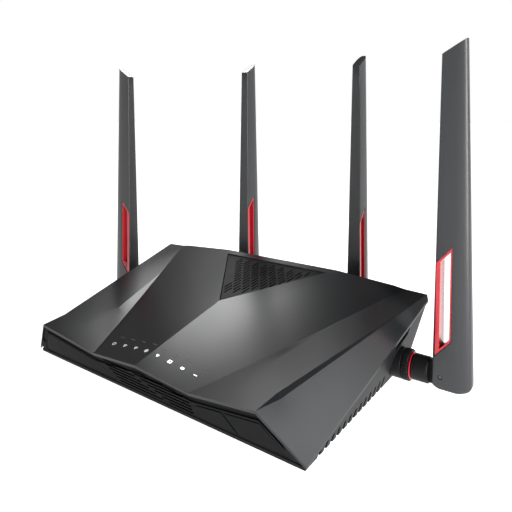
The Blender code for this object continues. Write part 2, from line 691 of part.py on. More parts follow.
def build_base(root, mat):
    half = HALF_BASE - BASE_WALL / 2
    floor = box_mesh("base_tray", (-half, BASE_FRONT_Y, FLOOR_Z), (half, BASE_REAR_Y, FLOOR_TOP))
    base = place("base_tray", floor, mat, root)
    join_on(base, side_wall_mesh(-1), side_wall_mesh(1))
    cutters = []
    for side in (-1, 1):
        cutters += side_vent_cutters(side)
        bore = cylinder_mesh("socket_hole", SOCKET_RADIUS + GAP, HALF_BASE - 9 * MM, HALF_BASE + 30 * MM, axis="X")
        if side < 0:
            bore.transform(Matrix.Rotation(math.pi, 4, "Z"))
        cutters.append(moved(bore, (0, SIDE_AXIS_Y, SIDE_AXIS_Z)))
        cutters.append(side_recess(side))
    cut(base, joined("side_cuts", cutters))
    bosses, bores = [], []
    seat = SCREW_BOSS_TOP - 2.5 * MM
    head, shank = SCREW_HEAD_RADIUS + GAP, SCREW_SHANK_RADIUS + GAP
    for x, y in SCREW_PLACES:
        boss = cylinder_mesh("boss", POST_RADIUS + 2 * MM, FLOOR_Z + 1 * MM, SCREW_BOSS_TOP)
        bosses.append(moved(boss, (x, y, 0)))
        profile = [(0, 0), (0, head), (seat, head), (seat, shank)]
        profile += [(SCREW_BOSS_TOP + 1 * MM, shank), (SCREW_BOSS_TOP + 1 * MM, 0)]
        bores.append(moved(turned_mesh("bore", profile, axis="Z"), (x, y, 0)))
    for x, y in BOARD_POSTS:
        post = cylinder_mesh("standoff", 3 * MM, FLOOR_Z + 1 * MM, BOARD_Z - GAP)
        bosses.append(moved(post, (x, y, 0)))
    join_on(base, joined("bosses", bosses))
    cut(base, joined("screw_bores", bores))


def side_recess(side):
    """The dark rectangular vent below the seam, ahead of the side connector."""
    centre_y, length, height = SIDE_AXIS_Y - 3 * MM, RECESS_LENGTH, RECESS_HEIGHT
    centre_z = wing_edge_z(centre_y) - 9 * MM
    slope = (WING_REAR.z - TIP.z) / (WING_REAR.y - TIP.y)
    outline = [
        (centre_y + s * length / 2, centre_z + s * slope * length / 2 + t * height / 2)
        for s, t in ((-1, -1), (1, -1), (1, 1), (-1, 1))
    ]
    low, high = sorted((side * (HALF_BASE - 6 * MM), side * (HALF_BASE + 20 * MM)))
    return prism_mesh("recess", outline, low, high, axis="X")


BOARD_POSTS = [
    (side * (BOARD_WIDTH / 2 - 8 * MM), y)
    for y in (BOARD_FRONT_Y + 10 * MM, BOARD_REAR_Y - 10 * MM)
    for side in (-1, 1)
]


def build_fascia(root, mat):
    outline = [(-FASCIA_HALF, FASCIA_LOW), (FASCIA_HALF, FASCIA_LOW)]
    outline += list(reversed(top_line(-FASCIA_HALF, FASCIA_HALF, 0)))
    fascia = place("front_fascia", fascia_piece("front_fascia", outline, 0, FASCIA_WALL), mat, root)
    band_half = FASCIA_HALF - 8 * MM
    band = top_line(-band_half, band_half, LIP_DROP)
    band += list(reversed(top_line(-band_half, band_half, -6 * MM)))
    cut(fascia, fascia_piece("band", band, -CUT, LIP_DEPTH))
    for outline in (FLAP_OUTLINE, WIFI_OUTLINE, WPS_OUTLINE):
        opening = grown_outline(outline, SLIDE)
        cut(fascia, fascia_piece("opening", opening, -CUT, FASCIA_WALL + CUT))
    cut(fascia, joined("louvres", louvre_cutters()))


def louvre_cutters():
    """Level slots between two slanting ends, with a solid slanting bar left across them."""
    low = LOUVRE_OUTLINE[0][1]
    high = LOUVRE_OUTLINE[3][1]
    pitch = (high - low) / LOUVRE_COUNT
    cutters = []
    for i in range(LOUVRE_COUNT):
        z = low + (i + 0.5) * pitch
        left = mix(LOUVRE_OUTLINE[0][0], LOUVRE_OUTLINE[4][0], min((z - low) / (high - low), 1)) + 3 * MM
        fall = max(z - LOUVRE_OUTLINE[2][1], 0) / (high - LOUVRE_OUTLINE[2][1])
        right = mix(LOUVRE_OUTLINE[1][0] - 2 * MM, 14 * MM, fall)
        bar = mix(24 * MM, -12 * MM, (z - low) / (high - low))
        for a, b in ((left, bar - 3 * MM), (bar + 3 * MM, right)):
            if b - a < 6 * MM:
                continue
            half = LOUVRE_SLOT / 2
            outline = [(a + half, z - half), (b - half, z - half), (b + half, z + half), (a - half, z + half)]
            cutters.append(fascia_piece("slot", outline, -CUT, FASCIA_WALL + CUT))
    return cutters


def build_rear_panel(root, mat):
    """The upright rear wall, with a hole for each connector."""
    low_z, inner = FLOOR_TOP + GAP, BASE_WALL + GAP
    front, rear = PANEL_Y - PANEL_WALL, PANEL_Y
    skin = surface_of(cover_mesh())
    side_z = WING_REAR_Z - COVER_WALL - PANEL_SIDE_DROP
    outline = [(wall_x(low_z) - inner, low_z), (wall_x(side_z) - inner, side_z)]
    for i in range(PANEL_STATIONS + 1):
        edge = VALLEY_END.lerp(REAR_TOP, i / PANEL_STATIONS)
        ceiling = min(skin(edge.x, front), skin(edge.x, rear)) - COVER_WALL - GAP - SEAM
        outline.append((edge.x, min(edge.z - COVER_WALL - PANEL_TOP_DROP, ceiling)))
    outline += [(-x, z) for x, z in reversed(outline)]
    panel = place("rear_panel", prism_mesh("rear_panel", outline, front, rear, axis="Y"), mat, root)
    cutters = []
    for x in (-REAR_AXIS_X, REAR_AXIS_X):
        bore = cylinder_mesh("bore", SOCKET_RADIUS + GAP, PANEL_Y - CUT, REAR_Y + 20 * MM, axis="Y")
        cutters.append(moved(bore, (x, 0, REAR_AXIS_Z)))
    for low, high in REAR_OPENINGS.values():
        cutters.append(box_mesh("port", (low[0], PANEL_Y - CUT, low[1]), (high[0], REAR_Y, high[1])))
    half, low, high = REAR_SLOT_WIDTH / 2, REAR_SLOT_LOW, REAR_SLOT_LOW + REAR_SLOT_HEIGHT
    for i in range(REAR_SLOT_COUNT):
        x = (i - (REAR_SLOT_COUNT - 1) / 2) * REAR_SLOT_PITCH
        cutters.append(box_mesh("slot", (x - half, PANEL_Y - CUT, low), (x + half, REAR_Y, high)))
    cut(panel, joined("panel_cuts", cutters))


def build_vent(root, mat):
    """The sunk triangular grille in the roof, with staggered slanting slots."""
    apex, corner = VENT_APEX, VENT_CORNER
    slope = (corner.z - apex.z) / (corner.y - apex.y)
    outline = grown_outline([(0, apex.y), (corner.x, corner.y), (-corner.x, corner.y)], -GAP - 0.2 * MM)
    sink, wall = GRILLE_SINK, GRILLE_WALL
    mesh = prism_mesh("vent_grille", outline, -wall, 0)
    for v in mesh.vertices:
        v.co.z += apex.z - sink + slope * (v.co.y - apex.y)
    grille = place("vent_grille", mesh, mat, root)
    cut(grille, joined("grille_slots", grille_cutters()))


def grille_cutters():
    apex, corner = VENT_APEX, VENT_CORNER
    angle, width, length = math.radians(GRILLE_ANGLE), GRILLE_SLOT, GRILLE_SLOT_LENGTH
    row_pitch, end_gap = GRILLE_ROW_PITCH, 2.6 * MM
    run = Vector((math.cos(angle), math.sin(angle)))
    across = Vector((-run.y, run.x))
    middle = Vector((0, mix(apex.y, corner.y, 0.62)))
    field = grown_outline([(0, apex.y), (corner.x, corner.y), (-corner.x, corner.y)], -2.4 * MM)
    cutters = []
    for row in range(-24, 25):
        for step in range(-9, 10):
            shift = (row % 3) / 3
            centre = middle + across * row * row_pitch + run * (step + shift) * (length + end_gap)
            ends = [centre + run * (s * length / 2) for s in (-1, 1)]
            if not all(inside(field, end) for end in ends):
                continue
            if min(end.y for end in ends) < apex.y + GRILLE_PLAIN:
                continue
            side = across * (width / 2)
            points = [ends[0] - side, ends[1] - side, ends[1] + side, ends[0] + side]
            cutters.append(prism_mesh("slot", [tuple(p) for p in points], 30 * MM, 90 * MM))
    return cutters




def inside(outline, point):
    """Whether a point lies inside a convex outline."""
    sides = zip(outline, outline[1:] + outline[:1])
    turns = [(b[0] - a[0]) * (point.y - a[1]) - (b[1] - a[1]) * (point.x - a[0]) for a, b in sides]
    return all(t > 0 for t in turns) or all(t < 0 for t in turns)


def build_flap(root, mat):
    """Cover over the front socket, hinged along its lower front edge."""
    axis_y = min(fascia_y(x, FLAP_LOW) for x, z in FLAP_OUTLINE)  # so no corner swings down
    hinge = empty("flap_hinge", (0, axis_y, FLAP_LOW), root)
    mesh = fascia_piece("usb_flap", FLAP_OUTLINE, 0, FLAP_WALL)
    place("usb_flap", moved(mesh, (0, -axis_y, -FLAP_LOW)), mat, hinge)


def build_front_buttons(root, mat):
    stem_half = 2 * MM
    for name, outline in (("wifi_button", WIFI_OUTLINE), ("wps_button", WPS_OUTLINE)):
        stem_x = BUTTON_STEMS[name]
        button = place(name, fascia_piece(name, outline, -0.3 * MM, 1.9 * MM), mat, root)
        stem_low = (stem_x - stem_half, fascia_y(stem_x, BOARD_TOP + 3 * MM) + 1 * MM, BOARD_TOP + 1.4 * MM)
        stem_high = (stem_x + stem_half, BOARD_FRONT_Y - BUTTON_TRAVEL - GAP, BOARD_TOP + 4.6 * MM)
        join_on(button, box_mesh("stem", stem_low, stem_high))


# ---------------------------------------------------------------- electronics
LAN_WIDTH = LAN_COLUMNS * JACK_PITCH + JACK_SIDES
WAN_WIDTH = JACK_PITCH + JACK_SIDES
LAN_HEIGHT = LAN_ROWS * JACK_HEIGHT
JACK_LOW = BOARD_TOP + GAP
RESET_Z = JACK_LOW + 3.4 * MM
POWER_LOW = JACK_LOW + 1.5 * MM
REAR_OPENINGS = {
    "lan": (
        (LAN_CENTRE_X - LAN_WIDTH / 2 - GAP, JACK_LOW - GAP),
        (LAN_CENTRE_X + LAN_WIDTH / 2 + GAP, JACK_LOW + LAN_HEIGHT + GAP),
    ),
    "wan": (
        (WAN_X - WAN_WIDTH / 2 - GAP, JACK_LOW - GAP),
        (WAN_X + WAN_WIDTH / 2 + GAP, JACK_LOW + JACK_HEIGHT + GAP),
    ),
    "usb": (
        (USB_X - USB_WIDTH / 2 - GAP, JACK_LOW - GAP),
        (USB_X + USB_WIDTH / 2 + GAP, JACK_LOW + USB_HEIGHT + GAP),
    ),
    "dc": (
        (DC_X - DC_WIDTH / 2 - GAP, JACK_LOW - GAP),
        (DC_X + DC_WIDTH / 2 + GAP, JACK_LOW + DC_HEIGHT + GAP),
    ),
    "power": (
        (POWER_X - POWER_SIZE / 2 - SLIDE, POWER_LOW - SLIDE),
        (POWER_X + POWER_SIZE / 2 + SLIDE, POWER_LOW + POWER_SIZE + SLIDE),
    ),
    "reset": (
        (RESET_X - RESET_RADIUS - SLIDE, RESET_Z - RESET_RADIUS - SLIDE),
        (RESET_X + RESET_RADIUS + SLIDE, RESET_Z + RESET_RADIUS + SLIDE),
    ),
}


def build_board(root, mat):
    outline = [
        (-BOARD_WIDTH / 2, BOARD_FRONT_Y), (BOARD_WIDTH / 2, BOARD_FRONT_Y),
        (BOARD_WIDTH / 2, BOARD_REAR_Y), (-BOARD_WIDTH / 2, BOARD_REAR_Y),
    ]
    board = place("main_board", prism_mesh("main_board", outline, BOARD_Z, BOARD_TOP), mat, root)
    switches = [
        box_mesh("switch", (x - 3 * MM, BOARD_FRONT_Y, BOARD_TOP - 1 * MM),
                 (x + 3 * MM, BOARD_FRONT_Y + 4 * MM, BOARD_TOP + 5 * MM))
        for x in BUTTON_STEMS.values()
    ]
    power_front = PANEL_Y - POWER_LENGTH - POWER_TRAVEL - GAP
    switches.append(box_mesh("switch", (POWER_X - 5 * MM, power_front - 9 * MM, BOARD_TOP - 1 * MM),
                             (POWER_X + 5 * MM, power_front, BOARD_TOP + 10 * MM)))
    reset_front = PANEL_Y - RESET_LENGTH - RESET_TRAVEL - GAP
    switches.append(box_mesh("switch", (RESET_X - 3 * MM, reset_front - 4 * MM, BOARD_TOP - 1 * MM),
                             (RESET_X + 3 * MM, reset_front, BOARD_TOP + 6 * MM)))
    join_on(board, joined("switches", switches))


def build_heatsink(root, mat):
    low = BOARD_TOP + GAP
    width, depth, height = HEATSINK_SIZE
    base, fin, count = HEATSINK_BASE, HEATSINK_FIN, HEATSINK_FINS
    centre = Vector((0, BOARD_FRONT_Y + HEATSINK_SETBACK))
    pitch = (width - fin) / (count - 1)
    outline = [(centre.x - width / 2, low), (centre.x + width / 2, low)]
    for i in reversed(range(count)):
        left = centre.x - width / 2 + i * pitch
        outline += [(left + fin, low + base), (left + fin, low + height)]
        outline += [(left, low + height), (left, low + base)]
    outline = [outline[0], outline[1]] + outline[3:-1]
    mesh = prism_mesh("heatsink", outline, centre.y - depth / 2, centre.y + depth / 2, axis="Y")
    place("heatsink", mesh, mat, root)


def build_shield(root, mat):
    """A pressed lid over the radio chips, open underneath."""
    low = BOARD_TOP + GAP
    x, y = SHIELD_PLACE[0], BOARD_FRONT_Y + SHIELD_PLACE[1]
    half_x, half_y = SHIELD_HALF
    wall, height = SHIELD_WALL, SHIELD_HEIGHT
    shield = place("rf_shield", box_mesh("rf_shield", (x - half_x, y - half_y, low), (x + half_x, y + half_y, low + height)), mat, root)
    hollow_low = (x - half_x + wall, y - half_y + wall, low - 1 * MM)
    hollow_high = (x + half_x - wall, y + half_y - wall, low + height - wall)
    cut(shield, box_mesh("hollow", hollow_low, hollow_high))


def jack_block(name, root, mat, centre_x, columns, rows):
    """A block of network sockets, each a stepped recess in its rear face."""
    width, height = columns * JACK_PITCH + JACK_SIDES, rows * JACK_HEIGHT
    rear = PANEL_Y + JACK_PROUD
    low = (centre_x - width / 2, rear - JACK_DEPTH, JACK_LOW)
    high = (centre_x + width / 2, rear, JACK_LOW + height)
    block = place(name, box_mesh(name, low, high), mat, root)
    cutters = []
    for column in range(columns):
        x = centre_x + (column - (columns - 1) / 2) * JACK_PITCH
        for row in range(rows):
            z = JACK_LOW + row * JACK_HEIGHT + 2 * MM
            stages = ((5.9, 0, 7), (3.2, 7, 8.6), (1.6, 8.6, 10))
            outline = []
            for half, start, end in stages:
                outline += [(x + half * MM, z + start * MM), (x + half * MM, z + end * MM)]
            outline += [(2 * x - a, b) for a, b in reversed(outline)]
            cutters.append(prism_mesh("cavity", outline, rear - 13 * MM, rear + 1 * MM, axis="Y"))
    cut(block, joined(name + "_cavities", cutters))


def usb_shell(name, root, mat, centre_x, opening_y, inward):
    """A pressed USB socket with its tongue. inward is +1 where it faces the front."""
    half, wall = USB_WIDTH / 2, 0.6 * MM
    near, far = sorted((opening_y, opening_y + inward * USB_DEPTH))
    low, high = (centre_x - half, near, JACK_LOW), (centre_x + half, far, JACK_LOW + USB_HEIGHT)
    shell = place(name, box_mesh(name, low, high), mat, root)
    near, far = sorted((opening_y - inward * 1 * MM, opening_y + inward * (USB_DEPTH - 3 * MM)))
    low = (centre_x - half + wall, near, JACK_LOW + wall)
    high = (centre_x + half - wall, far, JACK_LOW + USB_HEIGHT - wall)
    cut(shell, box_mesh("mouth", low, high))
    near, far = sorted((opening_y + inward * 1.5 * MM, opening_y + inward * (USB_DEPTH - 2 * MM)))
    low, high = (centre_x - 5.4 * MM, near, JACK_LOW + 3.6 * MM), (centre_x + 5.4 * MM, far, JACK_LOW + 5.2 * MM)
    join_on(shell, box_mesh("tongue", low, high))


def build_dc_jack(root, mat):
    rear = PANEL_Y + JACK_PROUD
    low = (DC_X - DC_WIDTH / 2, rear - DC_DEPTH, JACK_LOW)
    high = (DC_X + DC_WIDTH / 2, rear, JACK_LOW + DC_HEIGHT)
    jack = place("dc_jack", box_mesh("dc_jack", low, high), mat, root)
    centre = (DC_X, 0, JACK_LOW + DC_HEIGHT / 2)
    cut(jack, moved(cylinder_mesh("bore", 3.1 * MM, rear - 9.5 * MM, rear + 1 * MM, axis="Y"), centre))
    pin = cylinder_mesh("pin", 1.0 * MM, rear - 10.5 * MM, rear - 1 * MM, axis="Y", steps=12)
    join_on(jack, moved(pin, centre))


def build_rear_buttons(root, mat, red):
    half = POWER_SIZE / 2
    low = (POWER_X - half, PANEL_Y - POWER_LENGTH, POWER_LOW)
    high = (POWER_X + half, PANEL_Y + POWER_PROUD, POWER_LOW + POWER_SIZE)
    place("power_button", box_mesh("power_button", low, high), mat, root)
    front, rear = PANEL_Y - RESET_LENGTH, PANEL_Y - 0.4 * MM
    reset = cylinder_mesh("reset_button", RESET_RADIUS, front, rear, axis="Y", steps=16)
    place("reset_button", moved(reset, (RESET_X, 0, RESET_Z)), red, root)


def build_light_guide(root, mat):
    """A clear bar whose pins reach up to the roof, which the status lights shine through."""
    half_width = (LED_COUNT - 1) / 2 * LED_PITCH + LED_SIZE
    low_z = BOARD_TOP + 8 * MM
    depth = LED_SIZE / 2
    bar = box_mesh("light_guide", (-half_width, LED_Y - depth, low_z), (half_width, LED_Y + depth, low_z + 2.5 * MM))
    guide = place("light_guide", bar, mat, root)
    pins = []
    for x in led_places():
        half = LED_SIZE / 2
        top = min(roof_z(x - half, LED_Y - half), roof_z(x + half, LED_Y - half)) - COVER_WALL - GAP
        pins.append(box_mesh("pin", (x - half, LED_Y - half, low_z + 1 * MM), (x + half, LED_Y + half, top)))
    join_on(guide, joined("pins", pins))


def build_feet_and_screws(root, rubber, steel):
    foot = cylinder_mesh("foot", FOOT_RADIUS, 0, FOOT_HEIGHT, chamfer=0.8 * MM)
    profile = [(FLOOR_Z + 0.6 * MM, 0), (FLOOR_Z + 0.6 * MM, SCREW_HEAD_RADIUS)]
    head_top = SCREW_BOSS_TOP - 2.5 * MM - GAP
    profile += [(head_top, SCREW_HEAD_RADIUS), (head_top, SCREW_SHANK_RADIUS)]
    profile += [(SCREW_TIP_Z - 1 * MM, SCREW_SHANK_RADIUS), (SCREW_TIP_Z, 0)]
    screw = turned_mesh("screw", profile, axis="Z", steps=16)
    ends = {"front": BASE_FRONT_Y + FOOT_INSET, "rear": BASE_REAR_Y - REAR_FOOT_INSET}
    for end, y in ends.items():
        for side, sign in (("left", -1), ("right", 1)):
            x = sign * (HALF_BASE - FOOT_INSET)
            place(f"foot_{end}_{side}", foot.copy(), rubber, root, (x, y, 0))
    for (x, y), where in zip(SCREW_PLACES, ("front_left", "front_right", "rear_left", "rear_right")):
        place(f"screw_{where}", screw.copy(), steel, root, (x, y, 0))


# ---------------------------------------------------------------- antenna, drawn once
def edge_share(z):
    return z / BLADE_HEIGHT


def blade_inner(z):
    return mix(-BLADE_FOOT_INNER, BLADE_TOP_INNER, edge_share(z))


def blade_outer(z):
    return mix(BLADE_FOOT_OUTER, BLADE_TOP_OUTER, edge_share(z))


def blade_half(z):
    return mix(BLADE_FOOT_HALF, BLADE_TOP_HALF, edge_share(z))


def blade_section_half(u, z):
    """Half thickness of the blade at a place on its side: flat, then bevelled to the outer edge."""
    inner, outer, half = blade_inner(z), blade_outer(z), blade_half(z)
    share = (u - inner) / (outer - inner)
    bevel = max(share - BLADE_FLAT_SHARE, 0) / (1 - BLADE_FLAT_SHARE)
    return mix(half, half * BLADE_EDGE_SHARE, min(bevel, 1))


def blade_mesh():
    """The convex outer shape, with the hinge pin along Y at the origin and the tip up."""
    outer_radius = 6.5 * MM
    inner_angle = math.degrees(math.acos(BLADE_FOOT_INNER / FOOT_SWEEP))
    foot = arc(0, 0, FOOT_SWEEP, 180 + inner_angle, 270, 6)
    corner_x = BLADE_FOOT_OUTER - outer_radius
    foot += arc(corner_x, -FOOT_SWEEP + outer_radius, outer_radius, 270, 360, 6)
    tip_inner_z = BLADE_HEIGHT - BLADE_TIP_FALL
    flat_u = mix(blade_inner(BLADE_HEIGHT), blade_outer(BLADE_HEIGHT), BLADE_FLAT_SHARE)
    flat_z = mix(tip_inner_z, BLADE_HEIGHT, BLADE_FLAT_SHARE)
    outline = foot + [(blade_outer(BLADE_HEIGHT), BLADE_HEIGHT), (flat_u, flat_z)]
    outline.append((blade_inner(tip_inner_z), tip_inner_z))
    outline.append((mix(blade_inner(-FOOT_SWEEP), blade_outer(-FOOT_SWEEP), BLADE_FLAT_SHARE), -FOOT_SWEEP))
    points = []
    for u, z in outline:
        half = blade_section_half(u, z)
        points += [(u, half, z), (u, -half, z)]
    return hull_mesh("blade", points)


def window_outline(margin_in=0.0, margin_out=0.0, margin_z=0.0):
    """The slanting window in the blade, made smaller by margins."""
    low, high = -WINDOW_INNER + margin_in, WINDOW_OUTER - margin_out
    rise = WINDOW_SLANT * (high + WINDOW_INNER)
    start = WINDOW_SLANT * margin_in
    bottom, top = WINDOW_LOW + margin_z, WINDOW_LOW + WINDOW_HEIGHT - margin_z
    return [(low, bottom + start), (high, bottom + rise), (high, top + rise), (low, top + start)]


RADIATOR_U = WINDOW_OUTER + 2.6 * MM


def build_blade_parts():
    """Blade, red window frame and inner radiator, all about the hinge pin."""
    blade = place("blade_draft", blade_mesh(), None, None)
    slot_half = TONGUE_HALF + SLIDE
    reach = TONGUE_RADIUS + 1.2 * MM
    fork = box_mesh("fork", (-20 * MM, -slot_half, -20 * MM), (reach, slot_half, reach))
    pin_hole = cylinder_mesh("pin_hole", PIN_RADIUS + GAP / 2, -20 * MM, 20 * MM, axis="Y", steps=16)
    window = prism_mesh("window", window_outline(), -20 * MM, 20 * MM, axis="Y")
    half_u, half_v = RADIATOR_WIDTH / 2 + GAP, RADIATOR_WALL / 2 + GAP
    channel_low = (RADIATOR_U - half_u, -half_v, reach - 3 * MM)
    channel_high = (RADIATOR_U + half_u, half_v, reach + RADIATOR_LENGTH + 1 * MM)
    cut(blade, fork, pin_hole, window, box_mesh("channel", channel_low, channel_high))
    frame_points = []
    for u, z in window_outline(GAP, GAP, GAP * 1.5):
        half = blade_half(z) - INSET_RECESS
        frame_points += [(u, half, z), (u, -half, z)]
    inset = place("inset_draft", hull_mesh("inset", frame_points), None, None)
    hole = window_outline(FRAME_INNER, FRAME_OUTER, FRAME_END)
    cut(inset, prism_mesh("hole", hole, -20 * MM, 20 * MM, axis="Y"))
    low = (RADIATOR_U - RADIATOR_WIDTH / 2, -RADIATOR_WALL / 2, reach + 0.5 * MM)
    high = (RADIATOR_U + RADIATOR_WIDTH / 2, RADIATOR_WALL / 2, reach + RADIATOR_LENGTH)
    radiator = box_mesh("radiator", low, high)
    return {"blade": finished_mesh(blade), "window_inset": finished_mesh(inset), "radiator": radiator}


def build_barrel_parts():
    """Socket, collar, ring, swivel barrel and pin, all along X from the collar plane."""
    socket = turned_mesh("socket", [
        (-SOCKET_LENGTH, 0), (-SOCKET_LENGTH, SOCKET_RADIUS), (-GAP, SOCKET_RADIUS),
        (-GAP, THREAD_RADIUS), (COLLAR_LENGTH - 2.4 * MM, THREAD_RADIUS), (COLLAR_LENGTH - 2.4 * MM, 0)])
    collar = turned_mesh("collar", [
        (0, THREAD_RADIUS + GAP), (0, COLLAR_RADIUS - 0.8 * MM), (0.8 * MM, COLLAR_RADIUS),
        (COLLAR_LENGTH - 0.8 * MM, COLLAR_RADIUS), (COLLAR_LENGTH, COLLAR_RADIUS - 0.8 * MM),
        (COLLAR_LENGTH, SPIGOT_RADIUS + GAP), (COLLAR_LENGTH - 1.6 * MM, SPIGOT_RADIUS + GAP),
        (COLLAR_LENGTH - 1.6 * MM, THREAD_RADIUS + GAP)])
    ring_low = COLLAR_LENGTH + GAP
    ring = turned_mesh("ring", [
        (ring_low, SPIGOT_RADIUS + GAP), (ring_low, RING_RADIUS),
        (ring_low + RING_WIDTH, RING_RADIUS), (ring_low + RING_WIDTH, SPIGOT_RADIUS + GAP)])
    end = BARREL_START + BARREL_LENGTH
    barrel = place("barrel_draft", turned_mesh("barrel", [
        (COLLAR_LENGTH - 1.2 * MM, 0), (COLLAR_LENGTH - 1.2 * MM, SPIGOT_RADIUS),
        (BARREL_START, SPIGOT_RADIUS), (BARREL_START, BARREL_RADIUS),
        (end - 1 * MM, BARREL_RADIUS), (end, BARREL_RADIUS - 1 * MM), (end, 0)]), None, None)
    tongue = [(end - 2 * MM, -TONGUE_RADIUS)]
    tongue += arc(PIN_REACH, 0, TONGUE_RADIUS, -90, 90, 14)
    tongue.append((end - 2 * MM, TONGUE_RADIUS))
    join_on(barrel, prism_mesh("tongue", tongue, -TONGUE_HALF, TONGUE_HALF, axis="Y"))
    hole = cylinder_mesh("hole", PIN_RADIUS + GAP / 2, -20 * MM, 20 * MM, axis="Y", steps=16)
    cut(barrel, moved(hole, (PIN_REACH, 0, 0)))
    pin_half = BLADE_FOOT_HALF - 0.5 * MM
    pin = cylinder_mesh("pin", PIN_RADIUS, -pin_half, pin_half, axis="Y", chamfer=0.3 * MM, steps=16)
    return {
        "socket": socket, "collar": collar, "accent_ring": ring,
        "swivel_barrel": finished_mesh(barrel), "hinge_pin": moved(pin, (PIN_REACH, 0, 0)),
    }


ANTENNAS = {
    "left": ((-SIDE_PLANE_X, SIDE_AXIS_Y, SIDE_AXIS_Z), math.pi),
    "right": ((SIDE_PLANE_X, SIDE_AXIS_Y, SIDE_AXIS_Z), 0.0),
    "rear_left": ((-REAR_AXIS_X, REAR_PLANE_Y, REAR_AXIS_Z), math.pi / 2),
    "rear_right": ((REAR_AXIS_X, REAR_PLANE_Y, REAR_AXIS_Z), math.pi / 2),
}


def build_antennas(root, mats):
    finish = {
        "socket": mats["black"], "collar": mats["black"], "accent_ring": mats["red"],
        "swivel_barrel": mats["black"], "hinge_pin": mats["steel"], "blade": mats["grey"],
        "window_inset": mats["red"], "radiator": mats["copper"],
    }
    swivel_parts = build_barrel_parts()
    blade_parts = build_blade_parts()
    for where, (location, turn) in ANTENNAS.items():
        swivel = empty(f"swivel_{where}", location, root, turn)
        tilt = empty(f"tilt_{where}", (PIN_REACH, 0, 0), swivel)
        for name, mesh in swivel_parts.items():
            place(f"{name}_{where}", mesh.copy(), finish[name], swivel)
        for name, mesh in blade_parts.items():
            place(f"{name}_{where}", mesh.copy(), finish[name], tilt)


def main():
    clear_scene()
    mats = {
        "grey": material("satin_grey_plastic", (0.055, 0.058, 0.062), 0.42),
        "black": material("black_plastic", (0.012, 0.012, 0.013), 0.5),
        "red": material("red_plastic", (0.45, 0.008, 0.02), 0.3),
        "rubber": material("rubber", (0.02, 0.02, 0.02), 0.9),
        "steel": material("steel", (0.5, 0.5, 0.5), 0.35, 1.0),
        "board": material("circuit_board", (0.01, 0.06, 0.03), 0.5),
        "clear": material("clear_plastic", (0.8, 0.82, 0.85), 0.2),
        "copper": material("copper", (0.7, 0.35, 0.2), 0.4, 1.0),
    }
    root = empty("router", (0, ORIGIN_SHIFT, 0))
    build_cover(root, mats["grey"])
    build_base(root, mats["grey"])
    build_fascia(root, mats["black"])
    build_rear_panel(root, mats["black"])
    build_vent(root, mats["black"])
    build_flap(root, mats["black"])
    build_front_buttons(root, mats["black"])
    build_board(root, mats["board"])
    build_heatsink(root, mats["steel"])
    build_shield(root, mats["steel"])
    jack_block("lan_jacks", root, mats["black"], LAN_CENTRE_X, LAN_COLUMNS, LAN_ROWS)
    jack_block("wan_jack", root, mats["black"], WAN_X, 1, 1)
    usb_shell("usb_port_rear", root, mats["steel"], USB_X, PANEL_Y + JACK_PROUD, -1)
    usb_shell("usb_port_front", root, mats["steel"], FRONT_USB_X, FASCIA_FOOT_Y + 2.4 * MM, 1)
    build_dc_jack(root, mats["black"])
    build_rear_buttons(root, mats["black"], mats["red"])
    build_light_guide(root, mats["clear"])
    build_feet_and_screws(root, mats["rubber"], mats["steel"])
    build_antennas(root, mats)


main()
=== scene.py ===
"""Looks of the wireless router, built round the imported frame.

Lengths are in metres. The casing, its sockets and buttons, the inside, the feet, the red window
frames and the copper strips keep the CAD shapes with rounded edges. The antennas' round parts and
blades are built again, finely, from sizes written here, and are placed on the frame's joints. The
status lights are set on the roof's own surface.
"""

import json
import math

import bmesh
import bpy
from mathutils import Matrix, Vector
from mathutils.bvhtree import BVHTree


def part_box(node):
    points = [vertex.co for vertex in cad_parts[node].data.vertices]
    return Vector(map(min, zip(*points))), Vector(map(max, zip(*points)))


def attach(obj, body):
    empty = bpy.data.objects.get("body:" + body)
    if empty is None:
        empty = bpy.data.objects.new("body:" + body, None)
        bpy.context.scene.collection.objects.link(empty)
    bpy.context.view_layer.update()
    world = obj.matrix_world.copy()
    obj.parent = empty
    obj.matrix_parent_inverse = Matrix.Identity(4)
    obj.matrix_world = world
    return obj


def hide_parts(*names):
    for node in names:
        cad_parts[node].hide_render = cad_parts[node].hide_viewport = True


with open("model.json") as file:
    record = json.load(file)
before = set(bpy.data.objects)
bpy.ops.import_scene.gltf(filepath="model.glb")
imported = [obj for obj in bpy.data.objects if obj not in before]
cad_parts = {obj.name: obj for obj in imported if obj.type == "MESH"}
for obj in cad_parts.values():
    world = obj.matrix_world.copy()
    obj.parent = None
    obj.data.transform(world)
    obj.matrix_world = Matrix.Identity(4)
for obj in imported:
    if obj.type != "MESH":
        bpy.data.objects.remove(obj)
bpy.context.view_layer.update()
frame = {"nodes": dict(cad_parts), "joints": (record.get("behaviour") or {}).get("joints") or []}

MM = 0.001
JOINTS = {joint["name"]: joint for joint in frame["joints"]}
ANTENNAS = ("left", "right", "rear_left", "rear_right")


# ---------------------------------------------------------------- meshes
def mesh_from(bm, name):
    mesh = bpy.data.meshes.new(name)
    bm.to_mesh(mesh)
    bm.free()
    return mesh


def cad_mesh(node):
    """A CAD node's mesh with its corners welded."""
    bm = bmesh.new()
    bm.from_mesh(frame["nodes"][node].data)
    bmesh.ops.remove_doubles(bm, verts=bm.verts, dist=1e-6)
    mesh = mesh_from(bm, node + "_looks")
    mesh.materials.clear()
    return mesh


def box_mesh(low, high, name="box"):
    bm = bmesh.new()
    low, high = Vector(low), Vector(high)
    bmesh.ops.create_cube(bm, size=1.0)
    bmesh.ops.scale(bm, vec=high - low, verts=bm.verts)
    bmesh.ops.translate(bm, vec=(low + high) / 2, verts=bm.verts)
    return mesh_from(bm, name)


